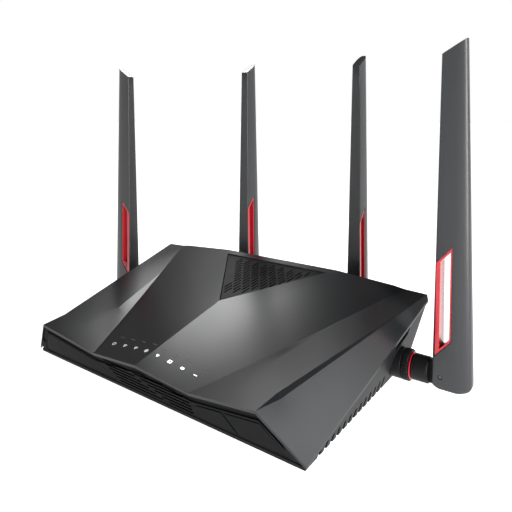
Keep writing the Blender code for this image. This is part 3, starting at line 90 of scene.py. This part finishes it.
def prism_mesh(outline, low, high, axis="Z"):
    """An outline drawn across the Y or Z axis and extruded along it."""
    spot = {"Y": lambda a, b, c: (a, c, b), "Z": lambda a, b, c: (a, b, c)}[axis]
    bm = bmesh.new()
    face = bm.faces.new([bm.verts.new(spot(a, b, low)) for a, b in outline])
    grown = bmesh.ops.extrude_face_region(bm, geom=[face])
    raised = [v for v in grown["geom"] if isinstance(v, bmesh.types.BMVert)]
    bmesh.ops.translate(bm, vec=spot(0, 0, high - low), verts=raised)
    bmesh.ops.recalc_face_normals(bm, faces=bm.faces)
    return mesh_from(bm, "prism")


def turned_mesh(profile, steps, axis="X"):
    """(distance, radius) points spun round X or Y; closed on itself unless it meets the axis."""
    direction = {"X": Vector((1, 0, 0)), "Y": Vector((0, 1, 0))}[axis]
    side = Vector((0, 0, 1))
    bm = bmesh.new()
    ring = [bm.verts.new(direction * along + side * radius) for along, radius in profile]
    on_axis = min(radius for _, radius in profile) < 1e-9
    pairs = zip(ring, ring[1:]) if on_axis else zip(ring, ring[1:] + ring[:1])
    edges = [bm.edges.new(pair) for pair in pairs]
    bmesh.ops.spin(bm, geom=edges, cent=(0, 0, 0), axis=direction, angle=2 * math.pi, steps=steps)
    bmesh.ops.remove_doubles(bm, verts=bm.verts, dist=1e-7)
    bmesh.ops.recalc_face_normals(bm, faces=bm.faces)
    return mesh_from(bm, "turned")


def joined(meshes):
    """Several meshes made one; the given ones are removed."""
    bm = bmesh.new()
    for mesh in meshes:
        bm.from_mesh(mesh)
        bpy.data.meshes.remove(mesh)
    return mesh_from(bm, "joined")


def moved(mesh, matrix):
    mesh.transform(matrix)
    return mesh


def arc(cx, cy, radius, start, end, count):
    """Points of an arc, angles in degrees."""
    angles = [math.radians(start + (end - start) * i / count) for i in range(count + 1)]
    return [(cx + radius * math.cos(a), cy + radius * math.sin(a)) for a in angles]


def mix(a, b, t):
    return a + (b - a) * t


def with_boolean(mesh, cutter, operation="DIFFERENCE"):
    """The mesh after one exact Boolean with a helper, which is then removed."""
    body = bpy.data.objects.new("boolean_body", mesh)
    helper = bpy.data.objects.new("boolean_helper", cutter)
    for obj in (body, helper):
        bpy.context.scene.collection.objects.link(obj)
    modifier = body.modifiers.new("boolean", "BOOLEAN")
    modifier.operation = operation
    modifier.object = helper
    bpy.context.view_layer.update()
    graph = bpy.context.evaluated_depsgraph_get()
    result = bpy.data.meshes.new_from_object(body.evaluated_get(graph))
    for obj in (body, helper):
        bpy.data.objects.remove(obj, do_unlink=True)
    return result


# ---------------------------------------------------------------- pieces
def piece(name, mesh, mat, body, nodes=(), bevel=0.0, steps=2, angle=30, smooth=40):
    """An object that rides on a body, with rounded edges if a bevel width is given."""
    mesh.name = name
    mesh.materials.clear()
    mesh.materials.append(mat)
    obj = bpy.data.objects.new(name, mesh)
    bpy.context.scene.collection.objects.link(obj)
    mesh.shade_smooth()
    if bevel:
        rounding = obj.modifiers.new("rounded_edges", "BEVEL")
        rounding.width = bevel
        rounding.segments = steps
        rounding.limit_method = "ANGLE"
        rounding.angle_limit = math.radians(angle)
        rounding.miter_outer = "MITER_ARC"
        rounding.use_clamp_overlap = True
        flatten = obj.modifiers.new("flat_faces", "WEIGHTED_NORMAL")
        flatten.keep_sharp = True
        flatten.weight = 60
    else:
        mesh.set_sharp_from_angle(angle=math.radians(smooth))
    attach(obj, body)
    if nodes:
        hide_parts(*nodes)
    return obj


def refined(node, mat, body="body", bevel=0.3 * MM, steps=2, angle=30):
    """A CAD node's own shape, with its edges rounded."""
    mesh = cad_mesh(node)
    return piece(node + "_moulding", mesh, mat, body, (node,), bevel, steps, angle)


# ---------------------------------------------------------------- materials
class Shader:
    """A short way to write a Principled material's nodes."""

    def __init__(self, name, colour, roughness, metallic=0.0, specular=0.5):
        self.mat = bpy.data.materials.new(name)
        self.mat.use_nodes = True
        self.tree = self.mat.node_tree
        self.bsdf = self.tree.nodes["Principled BSDF"]
        self.set("Base Color", (*colour, 1))
        self.set("Roughness", roughness)
        self.set("Metallic", metallic)
        self.set("Specular IOR Level", specular)
        self.colour = colour
        self.roughness = roughness
        self.place = self.add("ShaderNodeTexCoord").outputs["Object"]

    def set(self, socket, value):
        self.bsdf.inputs[socket].default_value = value

    def add(self, kind, **values):
        """A node of a kind, with its properties set."""
        node = self.tree.nodes.new(kind)
        for key, value in values.items():
            setattr(node, key, value)
        return node

    def link(self, a, b):
        self.tree.links.new(a, b)

    def noise(self, size, detail):
        """Noise whose features are about size across, in metres."""
        noise = self.add("ShaderNodeTexNoise")
        noise.inputs["Scale"].default_value = 1 / size
        noise.inputs["Detail"].default_value = detail
        self.link(self.place, noise.inputs["Vector"])
        return noise.outputs["Fac"]

    def grain(self, size, height, strength):
        """The fine moulded texture, as bump."""
        bump = self.add("ShaderNodeBump")
        bump.inputs["Strength"].default_value = strength
        bump.inputs["Distance"].default_value = height
        self.link(self.noise(size, 2.0), bump.inputs["Height"])
        self.link(bump.outputs["Normal"], self.bsdf.inputs["Normal"])

    def vary_colour(self, size, amount, detail=3.0):
        """Lighter and darker patches round the base colour."""
        ramp = self.add("ShaderNodeMix", data_type="RGBA")
        dark = [c * (1 - amount) for c in self.colour]
        light = [min(1, c * (1 + amount)) for c in self.colour]
        ramp.inputs["A"].default_value = (*dark, 1)
        ramp.inputs["B"].default_value = (*light, 1)
        self.link(self.noise(size, detail), ramp.inputs["Factor"])
        self.link(ramp.outputs["Result"], self.bsdf.inputs["Base Color"])

    def vary_roughness(self, size, amount):
        spread = self.add("ShaderNodeMapRange")
        spread.inputs["To Min"].default_value = self.roughness - amount
        spread.inputs["To Max"].default_value = self.roughness + amount
        self.link(self.noise(size, 3.0), spread.inputs["Value"])
        self.link(spread.outputs["Result"], self.bsdf.inputs["Roughness"])


def cover_plastic():
    s = Shader("satin_cover_plastic", (0.0125, 0.0133, 0.0150), 0.31, specular=0.5)
    s.grain(0.35 * MM, 0.02 * MM, 0.35)
    s.vary_colour(0.9 * MM, 0.10)
    s.vary_roughness(30 * MM, 0.03)
    return s.mat


def base_plastic():
    s = Shader("matt_base_plastic", (0.013, 0.0135, 0.0147), 0.5, specular=0.1)
    s.grain(0.35 * MM, 0.02 * MM, 0.4)
    s.vary_colour(0.9 * MM, 0.12)
    s.vary_roughness(25 * MM, 0.04)
    return s.mat


def black_plastic(name="black_textured_plastic", roughness=0.5, specular=0.2):
    s = Shader(name, (0.006, 0.0063, 0.0066), roughness, specular=specular)
    s.grain(0.3 * MM, 0.025 * MM, 0.5)
    s.vary_colour(1.5 * MM, 0.15)
    s.vary_roughness(12 * MM, 0.05)
    return s.mat


def blade_plastic():
    s = Shader("satin_blade_plastic", (0.027, 0.028, 0.030), 0.38, specular=0.5)
    s.grain(0.45 * MM, 0.03 * MM, 0.5)
    s.vary_colour(1.0 * MM, 0.16)
    s.vary_roughness(25 * MM, 0.04)
    return s.mat


def red_plastic():
    s = Shader("glossy_red_plastic", (0.47, 0.006, 0.016), 0.24, specular=0.5)
    s.set("Coat Weight", 0.5)
    s.set("Coat Roughness", 0.12)
    s.grain(1.2 * MM, 0.01 * MM, 0.2)
    s.vary_colour(8 * MM, 0.08)
    return s.mat


def rubber():
    s = Shader("foot_rubber", (0.018, 0.018, 0.018), 0.85, specular=0.3)
    s.grain(0.25 * MM, 0.03 * MM, 0.6)
    s.vary_colour(2 * MM, 0.2)
    return s.mat


def metal(name, colour, roughness):
    s = Shader(name, colour, roughness, metallic=1.0)
    s.grain(0.5 * MM, 0.01 * MM, 0.3)
    s.vary_roughness(3 * MM, 0.06)
    return s.mat


def circuit_board():
    s = Shader("solder_mask", (0.008, 0.055, 0.025), 0.38)
    s.grain(0.8 * MM, 0.03 * MM, 0.5)
    s.vary_colour(2.5 * MM, 0.45, detail=6.0)
    return s.mat


def frosted_guide():
    s = Shader("frosted_light_guide", (0.8, 0.82, 0.85), 0.35)
    s.set("Transmission Weight", 0.6)
    s.grain(0.4 * MM, 0.02 * MM, 0.4)
    return s.mat


def lit_white(name="lit_icon_white", strength=1.6):
    s = Shader(name, (0.85, 0.87, 0.9), 0.4)
    s.set("Emission Color", (0.92, 0.96, 1.0, 1))
    s.set("Emission Strength", strength)
    s.vary_roughness(0.8 * MM, 0.1)
    return s.mat


def printed_grey():
    s = Shader("printed_grey_ink", (0.16, 0.165, 0.17), 0.5)
    s.grain(0.2 * MM, 0.01 * MM, 0.3)
    return s.mat


LOOKS = {
    "cover": cover_plastic(),
    "base": base_plastic(),
    "black": black_plastic(),
    "grille": black_plastic("black_grille_plastic", 0.5, 0.15),
    "fascia": black_plastic("black_fascia_plastic", 0.6, 0.04),
    "blade": blade_plastic(),
    "red": red_plastic(),
    "rubber": rubber(),
    "steel": metal("nickel_plated_steel", (0.55, 0.55, 0.56), 0.3),
    "aluminium": metal("satin_aluminium", (0.6, 0.6, 0.61), 0.4),
    "pin": metal("blackened_pin", (0.10, 0.10, 0.105), 0.4),
    "copper": metal("copper_strip", (0.7, 0.35, 0.2), 0.35),
    "board": circuit_board(),
    "guide": frosted_guide(),
    "lit": lit_white(),
    # the faint icon look is the lit icon with a weaker glow: painted shade for the darker side of the
    # roof
    "dim": lit_white("lit_icon_painted_shade", 0.25),
    "ink": printed_grey(),
}


# ---------------------------------------------------------------- casing
def build_casing():
    refined("top_cover", LOOKS["cover"], bevel=0.7 * MM, steps=3, angle=6)
    refined("base_tray", LOOKS["base"], bevel=0.2 * MM)
    refined("front_fascia", LOOKS["fascia"], bevel=0.25 * MM)
    refined("rear_panel", LOOKS["black"], bevel=0.25 * MM)
    refined("vent_grille", LOOKS["grille"], bevel=0.12 * MM)
    refined("usb_flap", LOOKS["fascia"], body="flap", bevel=0.3 * MM)
    refined("wifi_button", LOOKS["fascia"], body="wifi_button", bevel=0.3 * MM)
    refined("wps_button", LOOKS["fascia"], body="wps_button", bevel=0.3 * MM)


def build_rear():
    refined("power_button", LOOKS["black"], body="power_button", bevel=0.5 * MM)
    refined("reset_button", LOOKS["red"], body="reset_button", bevel=0.3 * MM)
    for node in ("lan_jacks", "wan_jack", "dc_jack"):
        refined(node, LOOKS["black"], bevel=0.15 * MM)
    for node in ("usb_port_rear", "usb_port_front"):
        refined(node, LOOKS["steel"], bevel=0.12 * MM)


def build_inside():
    refined("main_board", LOOKS["board"], bevel=0.1 * MM)
    refined("heatsink", LOOKS["aluminium"], bevel=0.15 * MM)
    refined("rf_shield", LOOKS["steel"], bevel=0.2 * MM)
    refined("light_guide", LOOKS["guide"], bevel=0.1 * MM)


def build_underside():
    for end in ("front", "rear"):
        for side in ("left", "right"):
            refined(f"foot_{end}_{side}", LOOKS["rubber"], bevel=0.2 * MM)
            refined(f"screw_{end}_{side}", LOOKS["steel"], bevel=0.1 * MM)


# ---------------------------------------------------------------- status lights
LIGHT_PITCH = 12.2 * MM
ICON_KINDS = ("power", "waves", "waves", "globe", "plug", "socket", "rings", "line")
SHADED_ICONS = 4  # the first ones glow fainter as painted shade, for the darker side of the roof
MARK_OFFSET = 8.5 * MM  # of the printed bars, behind the icons
MARK_HALF, MARK_LINE = 2.2 * MM, 0.6 * MM
ICON_SIZE = 3.4 * MM
ICON_LINE = 0.42 * MM
INLAY = 0.12 * MM  # above and below the roof's surface


def stroke(points, width=ICON_LINE):
    """A flat line of a given width along points."""
    points = [Vector(p) for p in points]
    left, right = [], []
    for i, p in enumerate(points):
        ahead = points[min(i + 1, len(points) - 1)] - points[max(i - 1, 0)]
        side = Vector((-ahead.y, ahead.x)).normalized() * width / 2
        left.append(p + side)
        right.append(p - side)
    return prism_mesh([tuple(p) for p in left + right[::-1]], -INLAY, INLAY)


def ring_strokes(radius, start, end, centre=(0, 0)):
    return stroke(arc(*centre, radius, start, end, 18))


def icon(kind):
    """The strokes of one plain symbol."""
    r = ICON_SIZE / 2
    if kind == "power":
        return [ring_strokes(r * 0.85, 125, 415), stroke([(0, r * 0.1), (0, r)])]
    if kind == "waves":
        return [ring_strokes(r * k, 45, 135, (0, -r * 0.6)) for k in (0.5, 1.0, 1.5)] + [
            stroke([(0, -r * 0.75), (0, -r * 0.35)])]
    if kind == "globe":
        return [ring_strokes(r * 0.85, 0, 359), stroke([(-r * 0.8, 0), (r * 0.8, 0)]),
                stroke([(0, -r * 0.8), (0, r * 0.8)])]
    if kind == "socket":
        w, h = r * 0.85, r * 0.7
        return [stroke([(-w, -h), (w, -h)]), stroke([(-w, h), (w, h)]), stroke([(-w, -h), (-w, h)]),
                stroke([(w, -h), (w, h)]), stroke([(0, -h), (0, 0)])]
    if kind == "plug":
        return [stroke([(0, -r), (0, r * 0.6)]), stroke([(-r * 0.6, 0), (-r * 0.6, r * 0.4)]),
                stroke([(r * 0.6, -r * 0.2), (r * 0.6, r * 0.4)]), stroke([(-r * 0.6, 0), (0, -r * 0.5)]),
                stroke([(r * 0.6, -r * 0.2), (0, -r * 0.7)])]
    if kind == "line":
        return [stroke([(-r * 0.9, 0), (r * 0.9, 0)], ICON_LINE * 1.6)]
    return [ring_strokes(r * 0.5, 0, 359, (-r * 0.35, 0)), ring_strokes(r * 0.5, 0, 359, (r * 0.35, 0))]


def build_lights():
    """Lit marks and plain printed bars set flush in the roof, over the light pipes."""
    cover = frame["nodes"]["top_cover"].data
    tree = BVHTree.FromPolygons([v.co for v in cover.vertices], [p.vertices for p in cover.polygons])
    low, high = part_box("light_guide")
    row_y = (low[1] + high[1]) / 2
    for i, kind in enumerate(ICON_KINDS):
        x = (i - (len(ICON_KINDS) - 1) / 2) * LIGHT_PITCH
        bar = [stroke([(-MARK_HALF, 0), (MARK_HALF, 0)], MARK_LINE)]
        for name, y, shapes, look in (
            # the first icons take the faint look, painted shade where the roof is darker
            (f"light_{i + 1}", row_y, icon(kind), "dim" if i < SHADED_ICONS else "lit"),
            (f"mark_{i + 1}", row_y + MARK_OFFSET, bar, "ink"),
        ):
            spot, normal, _, _ = tree.ray_cast(Vector((x, y, 1)), Vector((0, 0, -1)))
            across = Vector((1, 0, 0)) - normal * normal.x
            across.normalize()
            turn = Matrix((across, normal.cross(across), normal)).transposed().to_4x4()
            mesh = moved(joined(shapes), Matrix.Translation(spot) @ turn)
            piece(name, mesh, LOOKS[look], "body")


# ---------------------------------------------------------------- antennas
GAP = 0.35 * MM
FOOT_SWEEP = 8.6 * MM  # foot's radius about the hinge pin
FOOT_CORNER = 6.5 * MM
BLADE_HEIGHT = 246 * MM
FOOT_INNER, FOOT_OUTER, FOOT_HALF = -5.9 * MM, 21.2 * MM, 7.2 * MM
TOP_INNER, TOP_OUTER, TOP_HALF = -3.0 * MM, 14.2 * MM, 4.0 * MM
TIP_FALL = 10.5 * MM  # slant of the tip
SLANT_START = 190 * MM  # below it the sections are level
FLAT_SHARE = 0.6  # flat part of the wide face
EDGE_SHARE = 0.3  # the outer edge's own flat, against the blade's thickness
CREASE = 12  # degrees of the curve that the crease leaves out
CORNER = 1.1 * MM
RIM = 0.35 * MM  # rounding of the tip and the foot
WINDOW_INNER, WINDOW_OUTER = -4.7 * MM, 7.4 * MM
WINDOW_LOW, WINDOW_HEIGHT, WINDOW_SLANT = 14 * MM, 70 * MM, 1.12
TONGUE_RADIUS, TONGUE_HALF, TONGUE_GAP = 8 * MM, 3 * MM, 0.4 * MM
PIN_RADIUS = 1.5 * MM
PIN_SINK = 0.5 * MM  # of the pin's ends, below the foot's faces
COLLAR_LENGTH, COLLAR_RADIUS = 5.4 * MM, 11.8 * MM
FLUTE_PITCH, FLUTE_WIDTH = 10, 4  # degrees round the collar
FLUTE_DEPTH = 0.035  # share of the radius
SOCKET_LENGTH, SOCKET_RADIUS, THREAD_RADIUS = 14 * MM, 11.6 * MM, 3.2 * MM
RING_WIDTH, RING_RADIUS = 0.9 * MM, 10.3 * MM
BARREL_RADIUS, BARREL_LENGTH, SPIGOT_RADIUS = 9.7 * MM, 12 * MM, 7 * MM
BARREL_START = COLLAR_LENGTH + RING_WIDTH + 3 * GAP
PIN_REACH = BARREL_START + BARREL_LENGTH + FOOT_SWEEP + TONGUE_GAP
CUT = 20 * MM  # reach of the cutters past what they cut


def blade_section(z, inset=0.0):
    """Points round the blade at a height, with the share of its width that each one has."""
    t = z / BLADE_HEIGHT
    inner, outer = mix(FOOT_INNER, TOP_INNER, t), mix(FOOT_OUTER, TOP_OUTER, t)
    half = mix(FOOT_HALF, TOP_HALF, t) - inset
    width = outer - inner
    crease = mix(inner, outer, FLAT_SHARE)
    if z < 0 and FOOT_SWEEP > -z:
        inner = max(inner, -math.sqrt(FOOT_SWEEP**2 - z**2))
    drop = -FOOT_SWEEP + FOOT_CORNER - z
    if drop > 0:
        outer -= FOOT_CORNER - math.sqrt(max(FOOT_CORNER**2 - drop**2, 0))
    inner, outer = inner + inset, outer - inset
    side = [(inner + CORNER - x, half - CORNER + y) for x, y in arc(0, 0, CORNER, 0, 90, 4)]
    start = math.radians(CREASE)
    steps = 12
    for i in range(steps + 1):
        phi = mix(start, math.pi / 2, i / steps)
        along = (math.sin(phi) - math.sin(start)) / (1 - math.sin(start))
        thick = EDGE_SHARE + (1 - EDGE_SHARE) * math.cos(phi) / math.cos(start)
        side.append((mix(crease, outer, along), half * thick))
    points = side + [(u, -v) for u, v in reversed(side)]
    return [(u, v, (u - inner) / width) for u, v in points]


def blade_body():
    """The blade's outer skin: sections from the round foot to the slanting tip."""
    top = BLADE_HEIGHT - TIP_FALL
    foot = [-FOOT_SWEEP * math.cos(math.radians(a)) for a in (0, 14, 24, 34, 44, 56, 70, 90)]
    stations = [(foot[0] + 0.01 * MM, RIM)] + [(z + 0.1 * MM, 0) for z in foot]
    stations += [(z * MM, 0) for z in (60, 120, 160, 190, 205, 220)]
    stations += [(top - RIM, 0), (top - 0.3 * RIM, 0.3 * RIM), (top, RIM)]
    bm = bmesh.new()
    rings = []
    for z, inset in stations:
        slant = TIP_FALL * max(z - SLANT_START, 0) / (top - SLANT_START)
        ring = []
        for i, (_, _, share) in enumerate(blade_section(z, inset)):
            height = z + slant * share
            u, v, _ = blade_section(height, inset)[i]
            ring.append(bm.verts.new((u, v, height)))
        rings.append(ring)
    for low, high in zip(rings, rings[1:]):
        for i in range(len(low)):
            j = (i + 1) % len(low)
            bm.faces.new((low[i], low[j], high[j], high[i]))
    bm.faces.new(rings[0])
    bm.faces.new(rings[-1])
    bmesh.ops.recalc_face_normals(bm, faces=bm.faces)
    return mesh_from(bm, "blade")


def window_outline():
    low, high = WINDOW_INNER, WINDOW_OUTER
    rise = WINDOW_SLANT * (high - low)
    bottom, top = WINDOW_LOW, WINDOW_LOW + WINDOW_HEIGHT
    return [(low, bottom), (high, bottom + rise), (high, top + rise), (low, top)]


def blade_mesh():
    """The blade with its window, its fork for the tongue and its pin hole."""
    reach, slot_half = TONGUE_RADIUS + 1.2 * MM, TONGUE_HALF + TONGUE_GAP
    mesh = with_boolean(blade_body(), prism_mesh(window_outline(), -CUT, CUT, axis="Y"))
    mesh = with_boolean(mesh, box_mesh((-CUT, -slot_half, -CUT), (reach, slot_half, reach)))
    return with_boolean(mesh, pin_bore())


def pin_bore():
    """A cutter for the hinge pin's hole, along Y."""
    radius = PIN_RADIUS + GAP / 2
    return turned_mesh([(-CUT, 0), (-CUT, radius), (CUT, radius), (CUT, 0)], 40, "Y")


def collar_mesh():
    """The screwed collar, with grip flutes round it."""
    edge = 0.8 * MM
    seat = COLLAR_LENGTH - 1.6 * MM
    profile = [(0, THREAD_RADIUS + GAP), (0, COLLAR_RADIUS - edge),
               (0.25 * edge, COLLAR_RADIUS - 0.25 * edge),
               (edge, COLLAR_RADIUS), (COLLAR_LENGTH - edge, COLLAR_RADIUS),
               (COLLAR_LENGTH - 0.25 * edge, COLLAR_RADIUS - 0.25 * edge),
               (COLLAR_LENGTH, COLLAR_RADIUS - edge), (COLLAR_LENGTH, SPIGOT_RADIUS + GAP),
               (seat, SPIGOT_RADIUS + GAP), (seat, THREAD_RADIUS + GAP)]
    mesh = turned_mesh(profile, 144)
    for vert in mesh.vertices:
        radius = math.hypot(vert.co.y, vert.co.z)
        turn = math.degrees(math.atan2(vert.co.z, vert.co.y)) % FLUTE_PITCH
        if radius > COLLAR_RADIUS - 0.3 * edge and turn < FLUTE_WIDTH:
            vert.co.y *= 1 - FLUTE_DEPTH
            vert.co.z *= 1 - FLUTE_DEPTH
    return mesh


def barrel_mesh():
    """The turning barrel with its tongue, bored for the pin."""
    end, edge = BARREL_START + BARREL_LENGTH, 1.2 * MM
    seat, root = COLLAR_LENGTH - 1.2 * MM, end - 2 * MM
    profile = [(seat, 0), (seat, SPIGOT_RADIUS)]
    profile += [(BARREL_START, SPIGOT_RADIUS), (BARREL_START, BARREL_RADIUS - 0.3 * MM)]
    profile += [(BARREL_START + 0.3 * MM, BARREL_RADIUS)]
    profile += [(end - edge + y, BARREL_RADIUS - edge + x) for x, y in arc(0, 0, edge, 0, 90, 6)]
    profile += [(end, 0)]
    mesh = turned_mesh(profile, 96)
    tongue = [(root, -TONGUE_RADIUS)] + arc(PIN_REACH, 0, TONGUE_RADIUS, -90, 90, 32)
    tongue += [(root, TONGUE_RADIUS)]
    mesh = with_boolean(mesh, prism_mesh(tongue, -TONGUE_HALF, TONGUE_HALF, axis="Y"), "UNION")
    return with_boolean(mesh, moved(pin_bore(), Matrix.Translation((PIN_REACH, 0, 0))))


def pin_mesh():
    half, edge = FOOT_HALF - PIN_SINK, 0.3 * MM
    profile = [(-half, 0), (-half, PIN_RADIUS - edge), (-half + edge, PIN_RADIUS)]
    profile += [(half - edge, PIN_RADIUS), (half, PIN_RADIUS - edge), (half, 0)]
    return moved(turned_mesh(profile, 40, "Y"), Matrix.Translation((PIN_REACH, 0, 0)))


def socket_mesh():
    seat, edge = COLLAR_LENGTH - 2.4 * MM, 0.4 * MM
    profile = [(-SOCKET_LENGTH, 0), (-SOCKET_LENGTH, SOCKET_RADIUS), (-GAP - edge, SOCKET_RADIUS)]
    profile += [(-GAP, SOCKET_RADIUS - edge), (-GAP, THREAD_RADIUS), (seat, THREAD_RADIUS), (seat, 0)]
    return turned_mesh(profile, 96)


def ring_mesh():
    low, high, edge = COLLAR_LENGTH + GAP, COLLAR_LENGTH + GAP + RING_WIDTH, 0.2 * MM
    bore = SPIGOT_RADIUS + GAP
    profile = [(low, bore), (low, RING_RADIUS - edge), (low + edge, RING_RADIUS)]
    profile += [(high - edge, RING_RADIUS), (high, RING_RADIUS - edge), (high, bore)]
    return turned_mesh(profile, 96)


def build_antennas():
    meshes = {
        "socket": socket_mesh(), "collar": collar_mesh(), "accent_ring": ring_mesh(),
        "swivel_barrel": barrel_mesh(), "hinge_pin": pin_mesh(),
    }
    looks = {
        "socket": "black", "collar": "black", "accent_ring": "red", "swivel_barrel": "black",
        "hinge_pin": "pin",
    }
    blade = blade_mesh()
    for where in ANTENNAS:
        swivel, antenna = "swivel_" + where, "antenna_" + where
        pin = Vector(JOINTS["tilt_" + where]["pos_m"])
        out = (pin - Vector(JOINTS[swivel]["pos_m"])).normalized()
        turn = Matrix.Rotation(math.atan2(out.y, out.x), 4, "Z")
        from_pin = Matrix.Translation(pin) @ turn
        from_collar = Matrix.Translation(pin - out * PIN_REACH) @ turn
        for kind, mesh in meshes.items():
            body = "body" if kind in ("socket", "collar") else swivel
            node = f"{kind}_{where}"
            placed = moved(mesh.copy(), from_collar)
            piece(node + "_turned", placed, LOOKS[looks[kind]], body, (node,), smooth=28)
        node = "blade_" + where
        placed = moved(blade.copy(), from_pin)
        piece(node + "_moulding", placed, LOOKS["blade"], antenna, (node,), smooth=24)
        refined("window_inset_" + where, LOOKS["red"], body=antenna, bevel=0.35 * MM, steps=3)
        refined("radiator_" + where, LOOKS["copper"], body=antenna, bevel=0.1 * MM)


# ---------------------------------------------------------------- stage
CAMERA_PLACE = (0.2784, -0.3585, 0.2062)
CAMERA_TURN = 35.79  # degrees from straight ahead
CAMERA_PITCH = 2.5  # degrees below the horizon
CAMERA_LENS = 36.155
CAMERA_SHIFT = -0.2226
FLOOR_HALF, FLOOR_THICKNESS = 30.0, 0.02
SKY_WHITE_BELOW, SKY_DIM_ABOVE, SKY_DIM = 0.25, 0.36, 0.05  # heights on the unit sphere; strength
LIGHTS_AIM = Vector((0, 0, 0.04))


def build_camera():
    data = bpy.data.cameras.new("camera")
    data.lens = CAMERA_LENS
    data.sensor_width = 36.0
    data.shift_y = CAMERA_SHIFT
    data.clip_start = 0.01
    data.clip_end = 50
    camera = bpy.data.objects.new("camera", data)
    bpy.context.scene.collection.objects.link(camera)
    camera.location = CAMERA_PLACE
    tilt = math.radians(90 - CAMERA_PITCH)
    camera.rotation_euler = (tilt, 0, math.radians(CAMERA_TURN))
    bpy.context.scene.camera = camera


def aim(obj, target):
    direction = Vector(target) - obj.location
    obj.rotation_euler = direction.to_track_quat("-Z", "Y").to_euler()


def softbox(name, azimuth, elevation, distance, width, height, power):
    """A rectangular light. Azimuth is from straight behind the router, towards its left."""
    data = bpy.data.lights.new(name, "AREA")
    data.shape = "RECTANGLE"
    data.size = width
    data.size_y = height
    data.energy = power
    light = bpy.data.objects.new(name, data)
    bpy.context.scene.collection.objects.link(light)
    a, e = math.radians(azimuth), math.radians(elevation)
    way = Vector((-math.sin(a) * math.cos(e), math.cos(a) * math.cos(e), math.sin(e)))
    light.location = LIGHTS_AIM + way * distance
    aim(light, LIGHTS_AIM)


def white_floor():
    s = Shader("pale_floor", (0.8, 0.8, 0.8), 0.7, specular=0.1)
    s.set("Emission Color", (1, 1, 1, 1))
    s.set("Emission Strength", 1.0)
    s.vary_roughness(0.2, 0.03)
    return s.mat


def build_stage():
    low, high = (-FLOOR_HALF, -FLOOR_HALF, -FLOOR_THICKNESS), (FLOOR_HALF, FLOOR_HALF, 0.0)
    floor_mesh = box_mesh(low, high, "floor")
    floor_mesh.materials.append(white_floor())
    floor = bpy.data.objects.new("floor", floor_mesh)
    bpy.context.scene.collection.objects.link(floor)

    world = bpy.data.worlds.new("studio")
    bpy.context.scene.world = world
    world.use_nodes = True
    tree = world.node_tree
    back = tree.nodes["Background"]
    place = tree.nodes.new("ShaderNodeTexCoord")
    split = tree.nodes.new("ShaderNodeSeparateXYZ")
    fade = tree.nodes.new("ShaderNodeMapRange")
    fade.interpolation_type = "SMOOTHSTEP"
    fade.inputs["From Min"].default_value = SKY_WHITE_BELOW
    fade.inputs["From Max"].default_value = SKY_DIM_ABOVE
    fade.inputs["To Min"].default_value = 1.0
    fade.inputs["To Max"].default_value = SKY_DIM
    tree.links.new(place.outputs["Generated"], split.inputs["Vector"])
    tree.links.new(split.outputs["Z"], fade.inputs["Value"])
    tree.links.new(fade.outputs["Result"], back.inputs["Strength"])
    back.inputs["Color"].default_value = (1, 1, 1, 1)

    softbox("key", 47.6, 45.2, 0.8, 0.26, 0.2, 1.75)
    softbox("right_fill", -76, 26, 1.1, 0.4, 0.3, 1.9)
    softbox("right_strip", -118, 14, 0.9, 0.08, 0.5, 7.0)
    softbox("front_fill", 200, 55, 1.6, 0.8, 0.6, 0.4)
    softbox("overhead", 0, 88, 1.6, 1.2, 1.2, 0.5)


build_casing()
build_rear()
build_inside()
build_underside()
build_lights()
build_antennas()
build_stage()
build_camera()
bpy.context.scene.view_settings.view_transform = "Standard"
